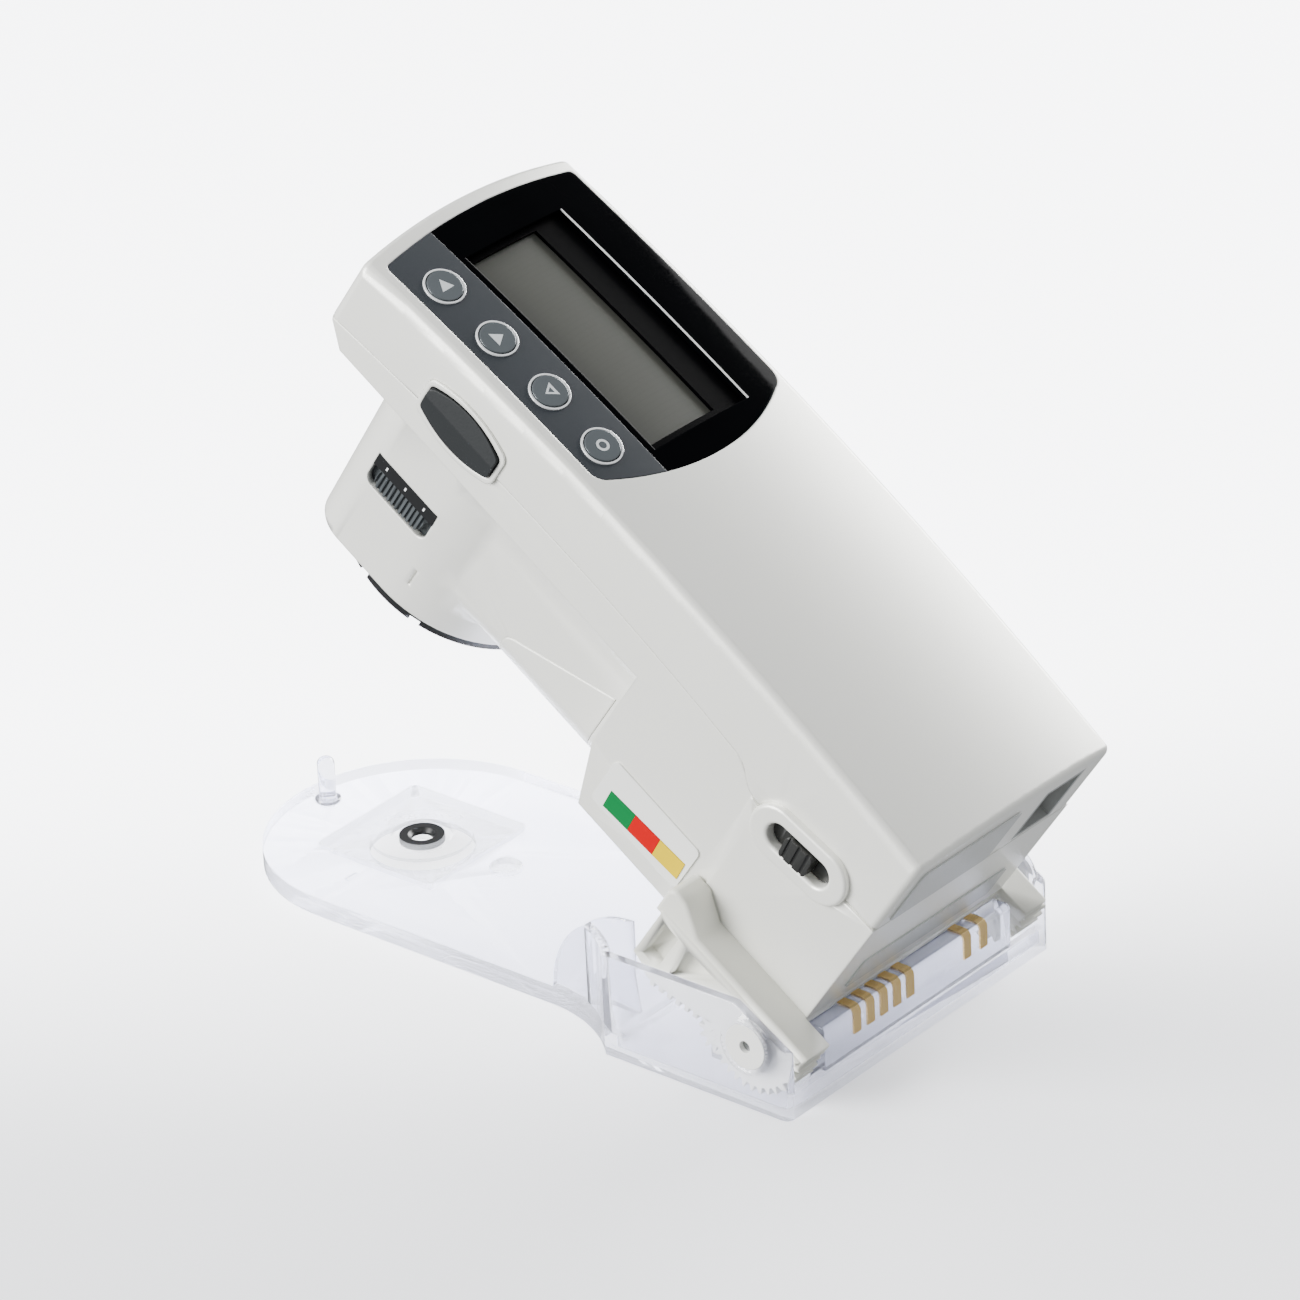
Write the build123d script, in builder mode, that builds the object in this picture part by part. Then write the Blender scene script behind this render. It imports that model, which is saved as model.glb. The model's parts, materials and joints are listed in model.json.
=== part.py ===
from build123d import *
from math import asin, cos, degrees, pi, radians, sin, sqrt
import os

# Hand-held color meter, tilted up on a clear hinged target base.
# World frame: +X towards the contacts at the rear, +Z up, near side at -Y, table at Z = 0.
# Meter frame: "along" runs forward from the rear end, "up" from the bottom plane,
# "out" towards the near side.

# Main sizes
meter_length = 175.8
meter_width = 68.0
meter_height = 54.0
stretch = meter_length / 175.8

# Hinge and pose
tilt = 35.0
hinge_height = 15.4
hinge_from_rear = 10.6
hinge_along = 3.5
hinge_below = 6.5
pin_radius = 2.0
pin_fit = 0.02
running_fit = 0.06
body_gap = 0.4
seat_gap = 0.05
slide_gap = 0.2

# Clear base
tongue_radius = 36.0
plate_thick = 4.6
floor_thick = 2.0
base_wall = 2.2
box_length = 50.0
box_height = 24.5
box_corner_height = 16.0
box_slope_run = 14.0
rear_wall_height = 6.0
rear_corner_radius = 2.0
flare_run = 24.0
fender_radius = 22.8
fender_inner = 34.5
fender_wall = 1.4
hub_boss_radius = 6.7
hub_boss_out = 0.9
hub_cap_radius = 5.2
hub_cap_thick = 1.2
hub_cap_hole = 1.4

# Target window in the tongue
insert_side = 34.0
insert_thick = 2.8
insert_corner = 1.5
insert_hole = 12.0
dish_radius = 11.7
dish_depth = 1.0
ring_seat_radius = 7.0
target_ring_radius = 5.2
target_ring_hole = 2.4
target_ring_height = 1.5
peg_radius = 2.0
peg_height = 11.0
peg_ahead = 28.2
peg_root = 2.0
peg_flange_radius = 3.0
peg_flange_height = 0.6
plug_radius = 4.0
plug_behind = 24.8
plug_depth = 2.0
tick_out = 24.0
tick_length = 3.6
tick_width = 1.2
tick_depth = 0.5

# Contacts
contact_block_depth = 4.3
contact_block_margin = 3.5
contact_block_height = 16.6
contact_block_inset = 0.6
strip_thick = 0.5
strip_width = 2.5
strip_leg = 4.0
strip_drop = 5.9
strip_bend = 1.2
strip_near_outs = (21.8, 17.1, 12.5, 7.9, 3.3)
strip_far_outs = (-16.8, -22.6)

# Yoke
yoke_room = 12.0
arm_inset = 0.8
arm_round = 1.0
arm_thick = 3.2
arm_tail = 7.7
arm_front = 38.5 * stretch
shoulder_start = 27.0 * stretch
shoulder_height = 5.0
yoke_plate_thick = 2.7
yoke_plate_front = 34.0 * stretch
web_thick = 4.2
web_front = 36.5 * stretch
web_depth = 16.0
web_tail = -3.0
pocket_depth = 3.2
pocket_wall = 1.8
rib_along = 27.3 * stretch
rib_width = 2.7
row_start = 30.0 * stretch
row_end = 16.0 * stretch
row_low = 17.6
row_high = 13.6
row_teeth = 6
row_tooth_height = 1.2
barrel_radius = 5.0
gear_module = 0.7
gear_teeth = 33
gear_width = 7.4
pinion_teeth = 11
pinion_shaft_radius = 1.5
pinion_bearing = 200.0
tooth_share = 0.40
damper_radius = 5.4
damper_depth = 4.4
damper_foot = 8.0
spring_cavity_half = 12.0
spring_cavity_radius = 3.9
spring_outer = 3.6
spring_inner = 2.4

# Meter case
nose_bow = 2.8
nose_corner = 2.5
arch_rise = 4.0
crown_rise = 2.6
top_corner = 3.2
end_round = 1.6
case_wall = 2.4
section_depth = 44.0
seam_rear = 32.4
seam_step_start = 36.0 * stretch
seam_step_end = 48.0 * stretch
seam_front = 38.2
seam_peak = 40.4
seam_nose = 36.4
groove_width = 0.5
groove_depth = 0.5
rear_foot_front = 34.6 * stretch
rear_top_front = 38.4 * stretch
tint_inset = 0.4
tint_back = 38.2 * stretch
tint_drop = 8.6
tint_foot_front = 68.5 * stretch
tint_top_front = 74.0 * stretch
tint_top = 8.0
grip_half = 25.5
grip_drop = 7.7
grip_round = 8.0
cove_low = 18.0
cove_high = 31.0
cove_inset = 0.4
chin_low = 30.4
chin_front = 169.3 * stretch

# Head
head_along = 134.5 * stretch
head_radius = 28.2
head_nose = 25.0
head_corner = 10.0
head_drop = 15.0
head_draft = 2.0
head_floor = 2.6
skirt_height = 1.9
skirt_inset = 0.2
skirt_inner = 23.6
skirt_notches = (52.0, 78.0, 110.0)
skirt_notch_width = 2.6
skirt_notch_depth = 1.2
barrel_tube_radius = 18.0
barrel_tube_wall = 2.0
barrel_tube_height = 30.0
glass_radius = 8.0
glass_thick = 1.5
lamp_inner = 9.5
lamp_thick = 2.0
lamp_rise = 6.0
sensor_length = 34.0
sensor_width = 32.0
sensor_height = 12.0

# Filter window in the head's side
filter_start = head_along - 2.1
filter_length = 19.0
filter_low = 5.0
filter_height = 9.2
filter_corner = 2.2
filter_band = 3.4
filter_index_thick = 0.9
filter_index_out = 29.2
filter_slider_over = 0.4
filter_slider_out = 27.0
filter_pad_out = 28.6
filter_slider_thick = 2.0
filter_slider_margin = 1.0
filter_ribs = 12
filter_rib_depth = 0.5
filter_travel = 1.8
scribe_along = head_along - 4.5
scribe_low = -8.0
scribe_high = -3.0
scribe_width = 0.6
scribe_out = 27.6

# Display and keys
panel_thick = 1.6
panel_front = meter_length - 3.4
panel_bow = 2.4
panel_near = 30.0
panel_far = 31.0
panel_rear = 107.1 * stretch
panel_rear_bow = 8.5
panel_corner = 4.0
panel_tip = 1.5
panel_split = 14.7
panel_fit = 0.15
panel_ledge = 2.0
recess_rear = 106.0 * stretch
recess_front = 165.0 * stretch
recess_near = 13.0
recess_far = 18.6
lcd_rear = 107.8 * stretch
lcd_front = 163.6 * stretch
lcd_near = 11.6
lcd_far = 9.4
lcd_frame_thick = 0.9
lcd_frame_margin = 2.0
lcd_thick = 2.6
lcd_margin = 1.2
key_first = 112.7 * stretch
key_pitch = 16.33 * stretch
key_out = 23.0
key_radius = 4.0
key_proud = 0.5
key_depth = 1.5
key_travel = 0.8
key_ring_inner = 4.25
key_ring_outer = 4.7
key_ring_proud = 0.3
key_mat_thick = 1.2
key_mat_half = 5.4
key_mat_over = 7.0

# Side controls
button_along = 136.6 * stretch
button_up = 42.3
button_length = 21.5
button_end = 6.0
button_middle = 11.4
button_corner = 1.2
button_proud = 1.6
button_edge_proud = 0.7
button_crest = 0.8
button_depth = 6.0
button_fit = 0.3
button_frame_width = 1.1
button_frame_proud = 0.5
button_frame_depth = 3.2
switch_along = 22.5 * stretch
switch_up = 32.4
switch_angle = -6.0
bezel_length = 27.0
bezel_height = 13.6
bezel_proud = 1.6
bezel_depth = 1.2
slot_length = 17.6
slot_height = 6.4
switch_plate_length = 20.8
switch_plate_height = 9.2
switch_plate_fit = 0.1
thumb_length = 7.6
thumb_height = 5.8
thumb_proud = 0.6
thumb_gap = 0.3
thumb_corner = 1.0
thumb_groove = 0.8

# Inside the meter
board_thick = 1.6
board_rear = 13.0
board_front = 100.0 * stretch
board_up = 40.2
board_side_gap = 0.4
post_alongs = (18.0, 88.0 * stretch)
post_out = 20.4
post_radius = 2.0
battery_rear = 44.0 * stretch
battery_front = 100.0 * stretch
battery_half = 17.8
battery_height = 19.0
cover_rear = 77.5 * stretch
cover_front = head_along - head_radius - 0.3
cover_rear_high = 13.0
cover_front_high = 1.2
cover_thick = 1.6
cover_fit = 0.2
cover_round = 3.0

# Plates, port and screws
plate_skin = 0.4
tint_plate_rear = 40.0 * stretch
tint_plate_front = 67.0 * stretch
tint_plate_low = -4.0
tint_plate_high = 9.6
tint_bar_first = 41.0 * stretch
tint_bar_length = 7.6 * stretch
tint_bar_height = 5.0
tint_bar_low = -1.4
tint_skin = 0.2
tint_turn = -4.0
rating_near = 30.0
rating_far = -4.0
rating_low = 33.6
rating_high = 51.0
end_plate_half = 25.0
end_plate_low = 5.0
end_plate_high = 15.0
port_out = -19.5
port_width = 13.6
port_low = 33.6
port_high = 51.0
port_depth = 12.0
port_wall = 1.0
socket_width = 8.4
socket_height = 3.4
socket_depth = 3.0
screw_alongs = (8.0, 29.0 * stretch)
screw_out = 25.0
screw_radius = 2.6
screw_sink = 1.4
screw_shank = 1.3
screw_length = 9.0
screw_boss = 3.2

# Worked-out places
meter_half = meter_width / 2
box_width = meter_width + 2 * yoke_room
box_half = box_width / 2
base_length = hinge_from_rear + head_along - hinge_along + tongue_radius
rear_x = base_length / 2
hinge_x = rear_x - hinge_from_rear
window_x = hinge_x - (head_along - hinge_along)
box_front_x = rear_x - box_length
flare_x = box_front_x - flare_run
fender_x = box_front_x - fender_radius
wall_inner = box_half - base_wall
yoke_half = wall_inner - body_gap
arm_inner = meter_half + body_gap
arm_outer = yoke_half - arm_inset
arm_width = arm_outer - arm_inner
contact_block_width = 2 * (yoke_half - gear_width - contact_block_margin)
slope = radians(tilt)
ahead = Vector(-cos(slope), 0, sin(slope))
above = Vector(sin(slope), 0, cos(slope))
hinge = Vector(hinge_x, 0, hinge_height)
meter_origin = hinge - ahead * hinge_along + above * hinge_below
METER = Plane(origin=meter_origin, x_dir=ahead, z_dir=above)
REACH = 90.0
arch_middle = meter_length / 2
arch_radius = (arch_middle**2 + arch_rise**2) / (2 * arch_rise)
crown_radius = (meter_half**2 + crown_rise**2) / (2 * crown_rise)
arch_sweep = degrees(asin((arch_middle + 3 * nose_bow) / arch_radius))
arch_centre = meter_origin + ahead * arch_middle + above * (meter_height + arch_rise - arch_radius)
arch_axis = Axis(arch_centre, (0, -1, 0))
arch_turn = radians(arch_sweep)
ARCH_START = Plane(
    origin=arch_centre,
    x_dir=(0, -1, 0),
    z_dir=ahead * cos(arch_turn) + above * sin(arch_turn),
)


def level(height):
    """Plane across the meter at a height: x is along, y is out."""
    return METER.offset(height)


def station(along):
    """Plane across the meter at a distance from its rear end: x is out, y is up."""
    return Plane(origin=meter_origin + ahead * along, x_dir=(0, -1, 0), z_dir=ahead)


def flank(out):
    """Plane along the meter's side: x is along, y is up, extruding away from the near side."""
    return Plane(origin=meter_origin + Vector(0, -out, 0), x_dir=ahead, z_dir=(0, 1, 0))


def save(piece, name):
    """Label a finished piece and write it as its own file."""
    piece.part.label = name
    export_step(piece.part, f"parts/{name}.step")


def span(low, high):
    """Centre and length of a stretch."""
    return (low + high) / 2, high - low


def plan_outline(inset):
    """Case seen from above: bowed nose, and sides a hair outside those of the sections it trims."""
    half = meter_half - inset + seat_gap
    nose = meter_length - inset
    with BuildSketch() as plan:
        with BuildLine():
            ThreePointArc((nose, -half), (nose + nose_bow, 0), (nose, half))
            Polyline((nose, half), (inset, half), (inset, -half), (nose, -half))
        make_face()
        fillet(plan.vertices().group_by(Axis.X)[-1], nose_corner)
    return plan.sketch


def seam_side(far_edge, shift):
    """Everything on one side of the case seam, which steps up behind the grip and then arches."""
    rear = seam_rear + shift
    front = seam_front + shift
    nose = seam_nose + shift
    step_middle = ((seam_step_start + seam_step_end) / 2, (rear + front) / 2)
    peak = ((seam_step_end + meter_length) / 2, seam_peak + shift)
    with BuildPart() as region:
        with BuildSketch(flank(0)):
            with BuildLine():
                Line((-REACH, rear), (seam_step_start, rear))
                TangentArc((seam_step_start, rear), step_middle, tangent=(1, 0))
                TangentArc((seam_step_end, front), step_middle, tangent=(-1, 0))
                ThreePointArc((seam_step_end, front), peak, (meter_length, nose))
                Polyline(
                    (meter_length, nose),
                    (meter_length + REACH, nose),
                    (meter_length + REACH, far_edge),
                    (-REACH, far_edge),
                    (-REACH, rear),
                )
            make_face()
        extrude(amount=meter_width, both=True)
    return region.part


def seam_groove():
    """Shadow line just above the seam, round the outside of the case."""
    outside = plan_outline(-groove_depth)
    inside = plan_outline(groove_depth)
    above_seam = seam_side(2 * REACH, 0)
    above_groove = seam_side(2 * REACH, groove_width)
    with BuildPart() as groove:
        with BuildSketch(level(0)):
            add(outside)
            add(inside, mode=Mode.SUBTRACT)
        extrude(amount=REACH)
        add(above_seam, mode=Mode.INTERSECT)
        add(above_groove, mode=Mode.SUBTRACT)
    return groove.part


def case_form(inset):
    """Crowned and lengthways arched form of the upper half, drawn in by inset."""
    plan = plan_outline(inset)
    half = meter_half - inset
    crest = arch_radius + crown_rise - inset
    edge = arch_radius + crown_rise - crown_radius + sqrt((crown_radius - inset) ** 2 - half**2)
    low = arch_radius - section_depth
    with BuildPart() as form:
        with BuildSketch(ARCH_START) as section:
            with BuildLine():
                ThreePointArc((half, edge), (0, crest), (-half, edge))
                Polyline((-half, edge), (-half, low), (half, low), (half, edge))
            make_face()
            fillet(section.vertices().group_by(Axis.Y)[-1], top_corner)
        revolve(axis=arch_axis, revolution_arc=2 * arch_sweep)
        with BuildSketch(level(-REACH)):
            add(plan)
        extrude(amount=3 * REACH, mode=Mode.INTERSECT)
        floor = meter_height - top_corner - inset
        high = [edge for edge in form.edges() if (edge.center() - meter_origin).dot(above) > floor]
        fillet([edge for edge in high if abs(edge.tangent_at(0.5).dot(ahead)) < 0.9], end_round)
    return form.part


def head_outline(inset):
    """Head seen from above: half round behind, square with soft corners in front."""
    radius = head_radius - inset
    front = head_along + head_nose - inset
    with BuildSketch() as outline:
        with BuildLine():
            ThreePointArc((head_along, radius), (head_along - radius, 0), (head_along, -radius))
            Polyline((head_along, -radius), (front, -radius), (front, radius), (head_along, radius))
        make_face()
        fillet(outline.vertices().group_by(Axis.X)[-1], head_corner - inset)
    return outline.sketch


def grip_section(inset, corner):
    """Grip cut across, up to where the cove starts."""
    half = grip_half - inset
    floor = inset - grip_drop
    with BuildSketch() as grip:
        with BuildLine():
            Polyline((half, cove_low), (half, floor), (-half, floor), (-half, cove_low), close=True)
        make_face()
        fillet(grip.vertices().group_by(Axis.Y)[0], corner - inset)
    return grip.sketch


def cover_form(grow, top, bottom, corner):
    """Battery cover wrapped round the grip's underside, between two depths below its surface."""
    outside = grip_section(top, grip_round)
    inside = grip_section(bottom, corner)
    with BuildPart() as cover:
        with BuildSketch(station(cover_rear - grow)):
            add(outside)
            add(inside, mode=Mode.SUBTRACT)
        extrude(amount=cover_front - cover_rear + 2 * grow)
        with BuildSketch(flank(0)) as side:
            with BuildLine():
                Polyline(
                    (cover_rear - grow, -REACH),
                    (cover_front + grow, -REACH),
                    (cover_front + grow, cover_front_high + grow),
                    (cover_rear - grow, cover_rear_high + grow),
                    close=True,
                )
            make_face()
            fillet(side.vertices().group_by(Axis.X)[-1].sort_by(Axis.Y)[-1], cover_round + grow)
        extrude(amount=meter_width, both=True, mode=Mode.INTERSECT)
    return cover.part


def key_at(place):
    """Round outline of one key, counted from the rear."""
    with BuildSketch() as key:
        with Locations((key_first + key_pitch * place, key_out)):
            Circle(key_radius)
    return key.sketch


def lower_form(inset):
    """Rear block, tint block, grip, cove and head, each drawn in by inset."""
    plan = plan_outline(inset)
    head = head_outline(inset)
    grip = grip_section(inset, grip_round)
    rear_half = meter_half - inset
    tint_half = meter_half - tint_inset - inset
    grip_out = grip_half - inset
    cove_out = meter_half - cove_inset - inset
    roof = meter_height
    with BuildPart() as form:
        with BuildSketch(flank(0)):
            with BuildLine():
                Polyline(
                    (inset, inset),
                    (rear_foot_front, inset),
                    (rear_top_front, seam_rear),
                    (rear_top_front, roof),
                    (inset, roof),
                    close=True,
                )
            make_face()
        extrude(amount=rear_half, both=True)
        with BuildSketch(flank(0)):
            with BuildLine():
                Polyline(
                    (rear_foot_front - inset, inset),
                    (tint_back + inset, inset),
                    (tint_back + inset, inset - tint_drop),
                    (tint_foot_front - inset, inset - tint_drop),
                    (tint_top_front - inset, tint_top),
                    (tint_top_front - inset, roof),
                    (rear_foot_front - inset, roof),
                    close=True,
                )
            make_face()
        extrude(amount=tint_half, both=True)
        with BuildSketch(station(tint_foot_front - 2 * case_wall)):
            add(grip)
        extrude(amount=head_along - tint_foot_front)
        with BuildSketch(station(tint_foot_front - 2 * case_wall)):
            with BuildLine():
                Line((0, cove_low), (grip_out, cove_low))
                TangentArc((grip_out, cove_low), (cove_out, cove_high), tangent=(0, 1))
                Polyline((cove_out, cove_high), (cove_out, roof), (0, roof), (0, cove_low))
            make_face()
            mirror(about=Plane.YZ)
        extrude(amount=meter_length + 2 * nose_bow - tint_foot_front + 2 * case_wall)
        with BuildSketch(flank(0)):
            with BuildLine():
                Polyline(
                    (chin_front - inset, chin_low + inset),
                    (meter_length, seam_nose + inset),
                    (meter_length + 2 * nose_bow, seam_nose + inset),
                    (meter_length + 2 * nose_bow, -REACH),
                    (head_along, -REACH),
                    (head_along, chin_low + inset),
                    close=True,
                )
            make_face()
        extrude(amount=meter_width, both=True, mode=Mode.SUBTRACT)
        with BuildSketch(level(head_floor - head_drop if inset else -head_drop)):
            add(head)
        extrude(amount=head_drop + cove_high, taper=-head_draft)
        with BuildSketch(level(-REACH)):
            add(plan)
        extrude(amount=3 * REACH, mode=Mode.INTERSECT)
    return form.part


def skin(outline, top, bottom):
    """Sheet that follows the crowned top, cut to an outline, between two depths below the surface."""
    outer = case_form(top)
    inner = case_form(bottom)
    with BuildPart() as sheet:
        with BuildSketch(level(seam_front)):
            add(outline)
        extrude(amount=REACH)
        add(outer, mode=Mode.INTERSECT)
        add(inner, mode=Mode.SUBTRACT)
    return sheet.part


def panel_outline(grow):
    """Whole display and key panel from above: bowed front, strongly bowed rear, sharp front corners."""
    near = panel_near + grow
    far = -panel_far - grow
    middle = (near + far) / 2
    front = panel_front + grow
    rear = panel_rear - grow
    with BuildSketch() as panel:
        with BuildLine():
            ThreePointArc((front, far), (front + panel_bow, middle), (front, near))
            Line((front, near), (rear, near))
            ThreePointArc((rear, near), (rear - panel_rear_bow, middle), (rear, far))
            Line((rear, far), (front, far))
        make_face()
        fillet(panel.vertices().group_by(Axis.X)[-1], panel_tip)
        fillet(panel.vertices().group_by(Axis.X)[0], panel_corner + grow)
    return panel.sketch


def panel_side(low, high, grow):
    """Part of the panel's outline between two distances out."""
    whole = panel_outline(grow)
    middle, width = span(low, high)
    with BuildSketch() as portion:
        add(whole)
        with Locations((panel_rear, middle)):
            Rectangle(2 * meter_length, width, mode=Mode.INTERSECT)
    return portion.sketch


def block_outline(low_along, high_along, low_out, high_out):
    """Plain rectangle on a level plane."""
    along, length = span(low_along, high_along)
    out, width = span(low_out, high_out)
    with BuildSketch() as outline:
        with Locations((along, out)):
            Rectangle(length, width)
    return outline.sketch


def key_outline(radius):
    """Round outlines at the four key places."""
    with BuildSketch() as rounds:
        with Locations(*[(key_first + key_pitch * i, key_out) for i in range(4)]):
            Circle(radius)
    return rounds.sketch


def button_outline(grow):
    """Barrel-shaped outline of the side button on the flank."""
    rear = button_along - button_length / 2 - grow
    front = button_along + button_length / 2 + grow
    end = button_end / 2 + grow
    middle = button_middle / 2 + grow
    with BuildSketch() as barrel:
        with BuildLine():
            ThreePointArc((rear, button_up + end), (button_along, button_up + middle), (front, button_up + end))
            Line((front, button_up + end), (front, button_up - end))
            ThreePointArc((front, button_up - end), (button_along, button_up - middle), (rear, button_up - end))
            Line((rear, button_up - end), (rear, button_up + end))
        make_face()
        fillet(barrel.vertices(), button_corner + grow)
    return barrel.sketch


def slot_outline(length, height):
    """Rounded slot turned a little against the flank, at the measure switch."""
    with BuildSketch() as slot:
        with Locations((switch_along, switch_up)):
            SlotOverall(length, height, rotation=switch_angle)
    return slot.sketch


def filter_outline(grow):
    """Filter window on the head's side, with rounded lower corners."""
    along, length = span(filter_start - grow, filter_start + filter_length + grow)
    up, height = span(filter_low - grow, filter_low + filter_height + grow)
    with BuildSketch() as window:
        with Locations((along, up)):
            Rectangle(length, height)
        fillet(window.vertices().group_by(Axis.Y)[0], filter_corner)
    return window.sketch


def gear_outline(teeth, turn):
    """Straight-flanked gear with thin teeth, one tooth centred at the angle turn."""
    pitch_radius = gear_module * teeth / 2
    root = pitch_radius - 1.2 * gear_module
    tip = pitch_radius + 0.9 * gear_module
    half_pitch = pi * gear_module * tooth_share / 2
    with BuildSketch() as gear:
        Circle(root)
        with PolarLocations(0, teeth, start_angle=turn):
            Polygon(
                (root - gear_module, -1.5 * half_pitch),
                (root, -1.5 * half_pitch),
                (pitch_radius, -half_pitch),
                (tip, -0.55 * half_pitch),
                (tip, 0.55 * half_pitch),
                (pitch_radius, half_pitch),
                (root, 1.5 * half_pitch),
                (root - gear_module, 1.5 * half_pitch),
                align=None,
            )
    return gear.sketch


os.makedirs("parts", exist_ok=True)

# Clear base: tongue, hinge box, fenders and hub bosses
with BuildSketch() as base_outline:
    with BuildLine():
        ThreePointArc((window_x, tongue_radius), (window_x - tongue_radius, 0), (window_x, -tongue_radius))
        Line((window_x, -tongue_radius), (flare_x, -tongue_radius))
        TangentArc((flare_x, -tongue_radius), (box_front_x, -box_half), tangent=(1, 0))
        Polyline((box_front_x, -box_half), (rear_x, -box_half), (rear_x, box_half), (box_front_x, box_half))
        TangentArc((flare_x, tongue_radius), (box_front_x, box_half), tangent=(1, 0))
        Line((flare_x, tongue_radius), (window_x, tongue_radius))
    make_face()

with BuildSketch() as fender_band:
    add(base_outline.sketch)
    offset(base_outline.sketch, amount=-base_wall, mode=Mode.SUBTRACT)
    with Locations(((fender_x + box_front_x + base_wall) / 2, 0)):
        Rectangle(box_front_x + base_wall - fender_x, box_width, mode=Mode.INTERSECT)

fender_middle = fender_inner + fender_wall / 2
insert_floor = plate_thick - insert_thick
cap_seat = hub_cap_thick + seat_gap
with BuildPart() as base_shell:
    with BuildSketch():
        add(base_outline.sketch)
    extrude(amount=plate_thick)
    with BuildSketch(Plane.XY.offset(floor_thick)):
        with Locations(((box_front_x + rear_x) / 2, 0)):
            Rectangle(box_length - 2 * base_wall, 2 * wall_inner)
    extrude(amount=box_height, mode=Mode.SUBTRACT)
    with BuildSketch():
        add(fender_band.sketch)
    extrude(amount=box_height)
    with BuildSketch():
        with Locations(*[((fender_x + box_front_x) / 2, side * fender_middle) for side in (1, -1)]):
            Rectangle(fender_radius, fender_wall)
    extrude(amount=plate_thick + fender_radius)
    with BuildSketch(Plane.XZ):
        with BuildLine():
            ThreePointArc(
                (fender_x, plate_thick),
                (box_front_x - fender_radius * cos(pi / 4), plate_thick + fender_radius * sin(pi / 4)),
                (box_front_x, plate_thick + fender_radius),
            )
            Polyline(
                (box_front_x, plate_thick + fender_radius),
                (box_front_x, plate_thick + 2 * fender_radius),
                (fender_x - fender_radius, plate_thick + 2 * fender_radius),
                (fender_x - fender_radius, plate_thick),
                (fender_x, plate_thick),
            )
        make_face()
    extrude(amount=box_width, both=True, mode=Mode.SUBTRACT)
    with BuildSketch(Plane.XZ.offset(box_half)):
        with BuildLine():
            Polyline(
                (box_front_x, 0),
                (rear_x, 0),
                (rear_x, box_corner_height),
                (rear_x - box_slope_run, box_height),
                (box_front_x, box_height),
                close=True,
            )
        make_face()
    extrude(amount=-base_wall)
    with BuildSketch(Plane.XZ.offset(box_half)):
        with Locations((hinge_x, hinge_height)):
            Circle(hub_boss_radius)
    extrude(amount=hub_boss_out)
    with BuildSketch(Plane.XZ.offset(box_half + hub_boss_out)):
        with Locations((hinge_x, hinge_height)):
            Circle(hub_cap_radius + seat_gap)
    extrude(amount=-cap_seat, mode=Mode.SUBTRACT)
    with BuildSketch(Plane.XZ.offset(box_half)):
        with Locations((hinge_x, hinge_height)):
            Circle(pin_radius + pin_fit)
    extrude(amount=-2 * base_wall, mode=Mode.SUBTRACT)
    mirror(about=Plane.XZ)
    with BuildSketch():
        with Locations((rear_x - base_wall / 2, 0)):
            Rectangle(base_wall, box_width - base_wall)
    extrude(amount=rear_wall_height)
    rear_edges = base_shell.edges().filter_by(Axis.Z).group_by(Axis.X)[-1].sort_by(Axis.Y)
    fillet([rear_edges[0], rear_edges[-1]], rear_corner_radius)
    with BuildSketch(Plane.XY.offset(insert_floor)):
        with Locations((window_x, 0)):
            RectangleRounded(insert_side + 2 * seat_gap, insert_side + 2 * seat_gap, insert_corner)
    extrude(amount=plate_thick, mode=Mode.SUBTRACT)
    with BuildSketch():
        with Locations((window_x, 0)):
            Circle(insert_hole)
    extrude(amount=plate_thick, mode=Mode.SUBTRACT)
    with BuildSketch(Plane.XY.offset(plate_thick - plug_depth)):
        with Locations((window_x + plug_behind, 0)):
            Circle(plug_radius + seat_gap)
        with Locations((window_x - peg_ahead, 0)):
            Circle(peg_radius + seat_gap)
    extrude(amount=plate_thick, mode=Mode.SUBTRACT)
    with BuildSketch(Plane.XY.offset(plate_thick - tick_depth)):
        with Locations((window_x, -tick_out), (window_x, tick_out)):
            Rectangle(tick_width, tick_length)
    extrude(amount=plate_thick, mode=Mode.SUBTRACT)
save(base_shell, "base_shell")

# Square window insert with a round dish and a seat for the ring
with BuildPart() as target_insert:
    with BuildSketch(Plane.XY.offset(insert_floor)):
        with Locations((window_x, 0)):
            RectangleRounded(insert_side, insert_side, insert_corner)
    extrude(amount=insert_thick)
    with BuildSketch(Plane.XY.offset(plate_thick - dish_depth)):
        with Locations((window_x, 0)):
            Circle(dish_radius)
            Circle(ring_seat_radius, mode=Mode.SUBTRACT)
    extrude(amount=dish_depth, mode=Mode.SUBTRACT)
    with BuildSketch(Plane.XY.offset(plate_thick - target_ring_height)):
        with Locations((window_x, 0)):
            Circle(target_ring_radius + seat_gap)
    extrude(amount=target_ring_height, mode=Mode.SUBTRACT)
    with BuildSketch(Plane.XY.offset(insert_floor)):
        with Locations((window_x, 0)):
            Circle(target_ring_hole)
    extrude(amount=insert_thick, mode=Mode.SUBTRACT)
save(target_insert, "target_insert")

with BuildPart() as target_ring:
    with BuildSketch(Plane.XY.offset(plate_thick - target_ring_height)):
        with Locations((window_x, 0)):
            Circle(target_ring_radius)
            Circle(target_ring_hole, mode=Mode.SUBTRACT)
    extrude(amount=target_ring_height)
    chamfer(target_ring.edges().filter_by(GeomType.CIRCLE).group_by(Axis.Z)[-1].sort_by(SortBy.RADIUS)[0], 0.8)
save(target_ring, "target_ring")

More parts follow.
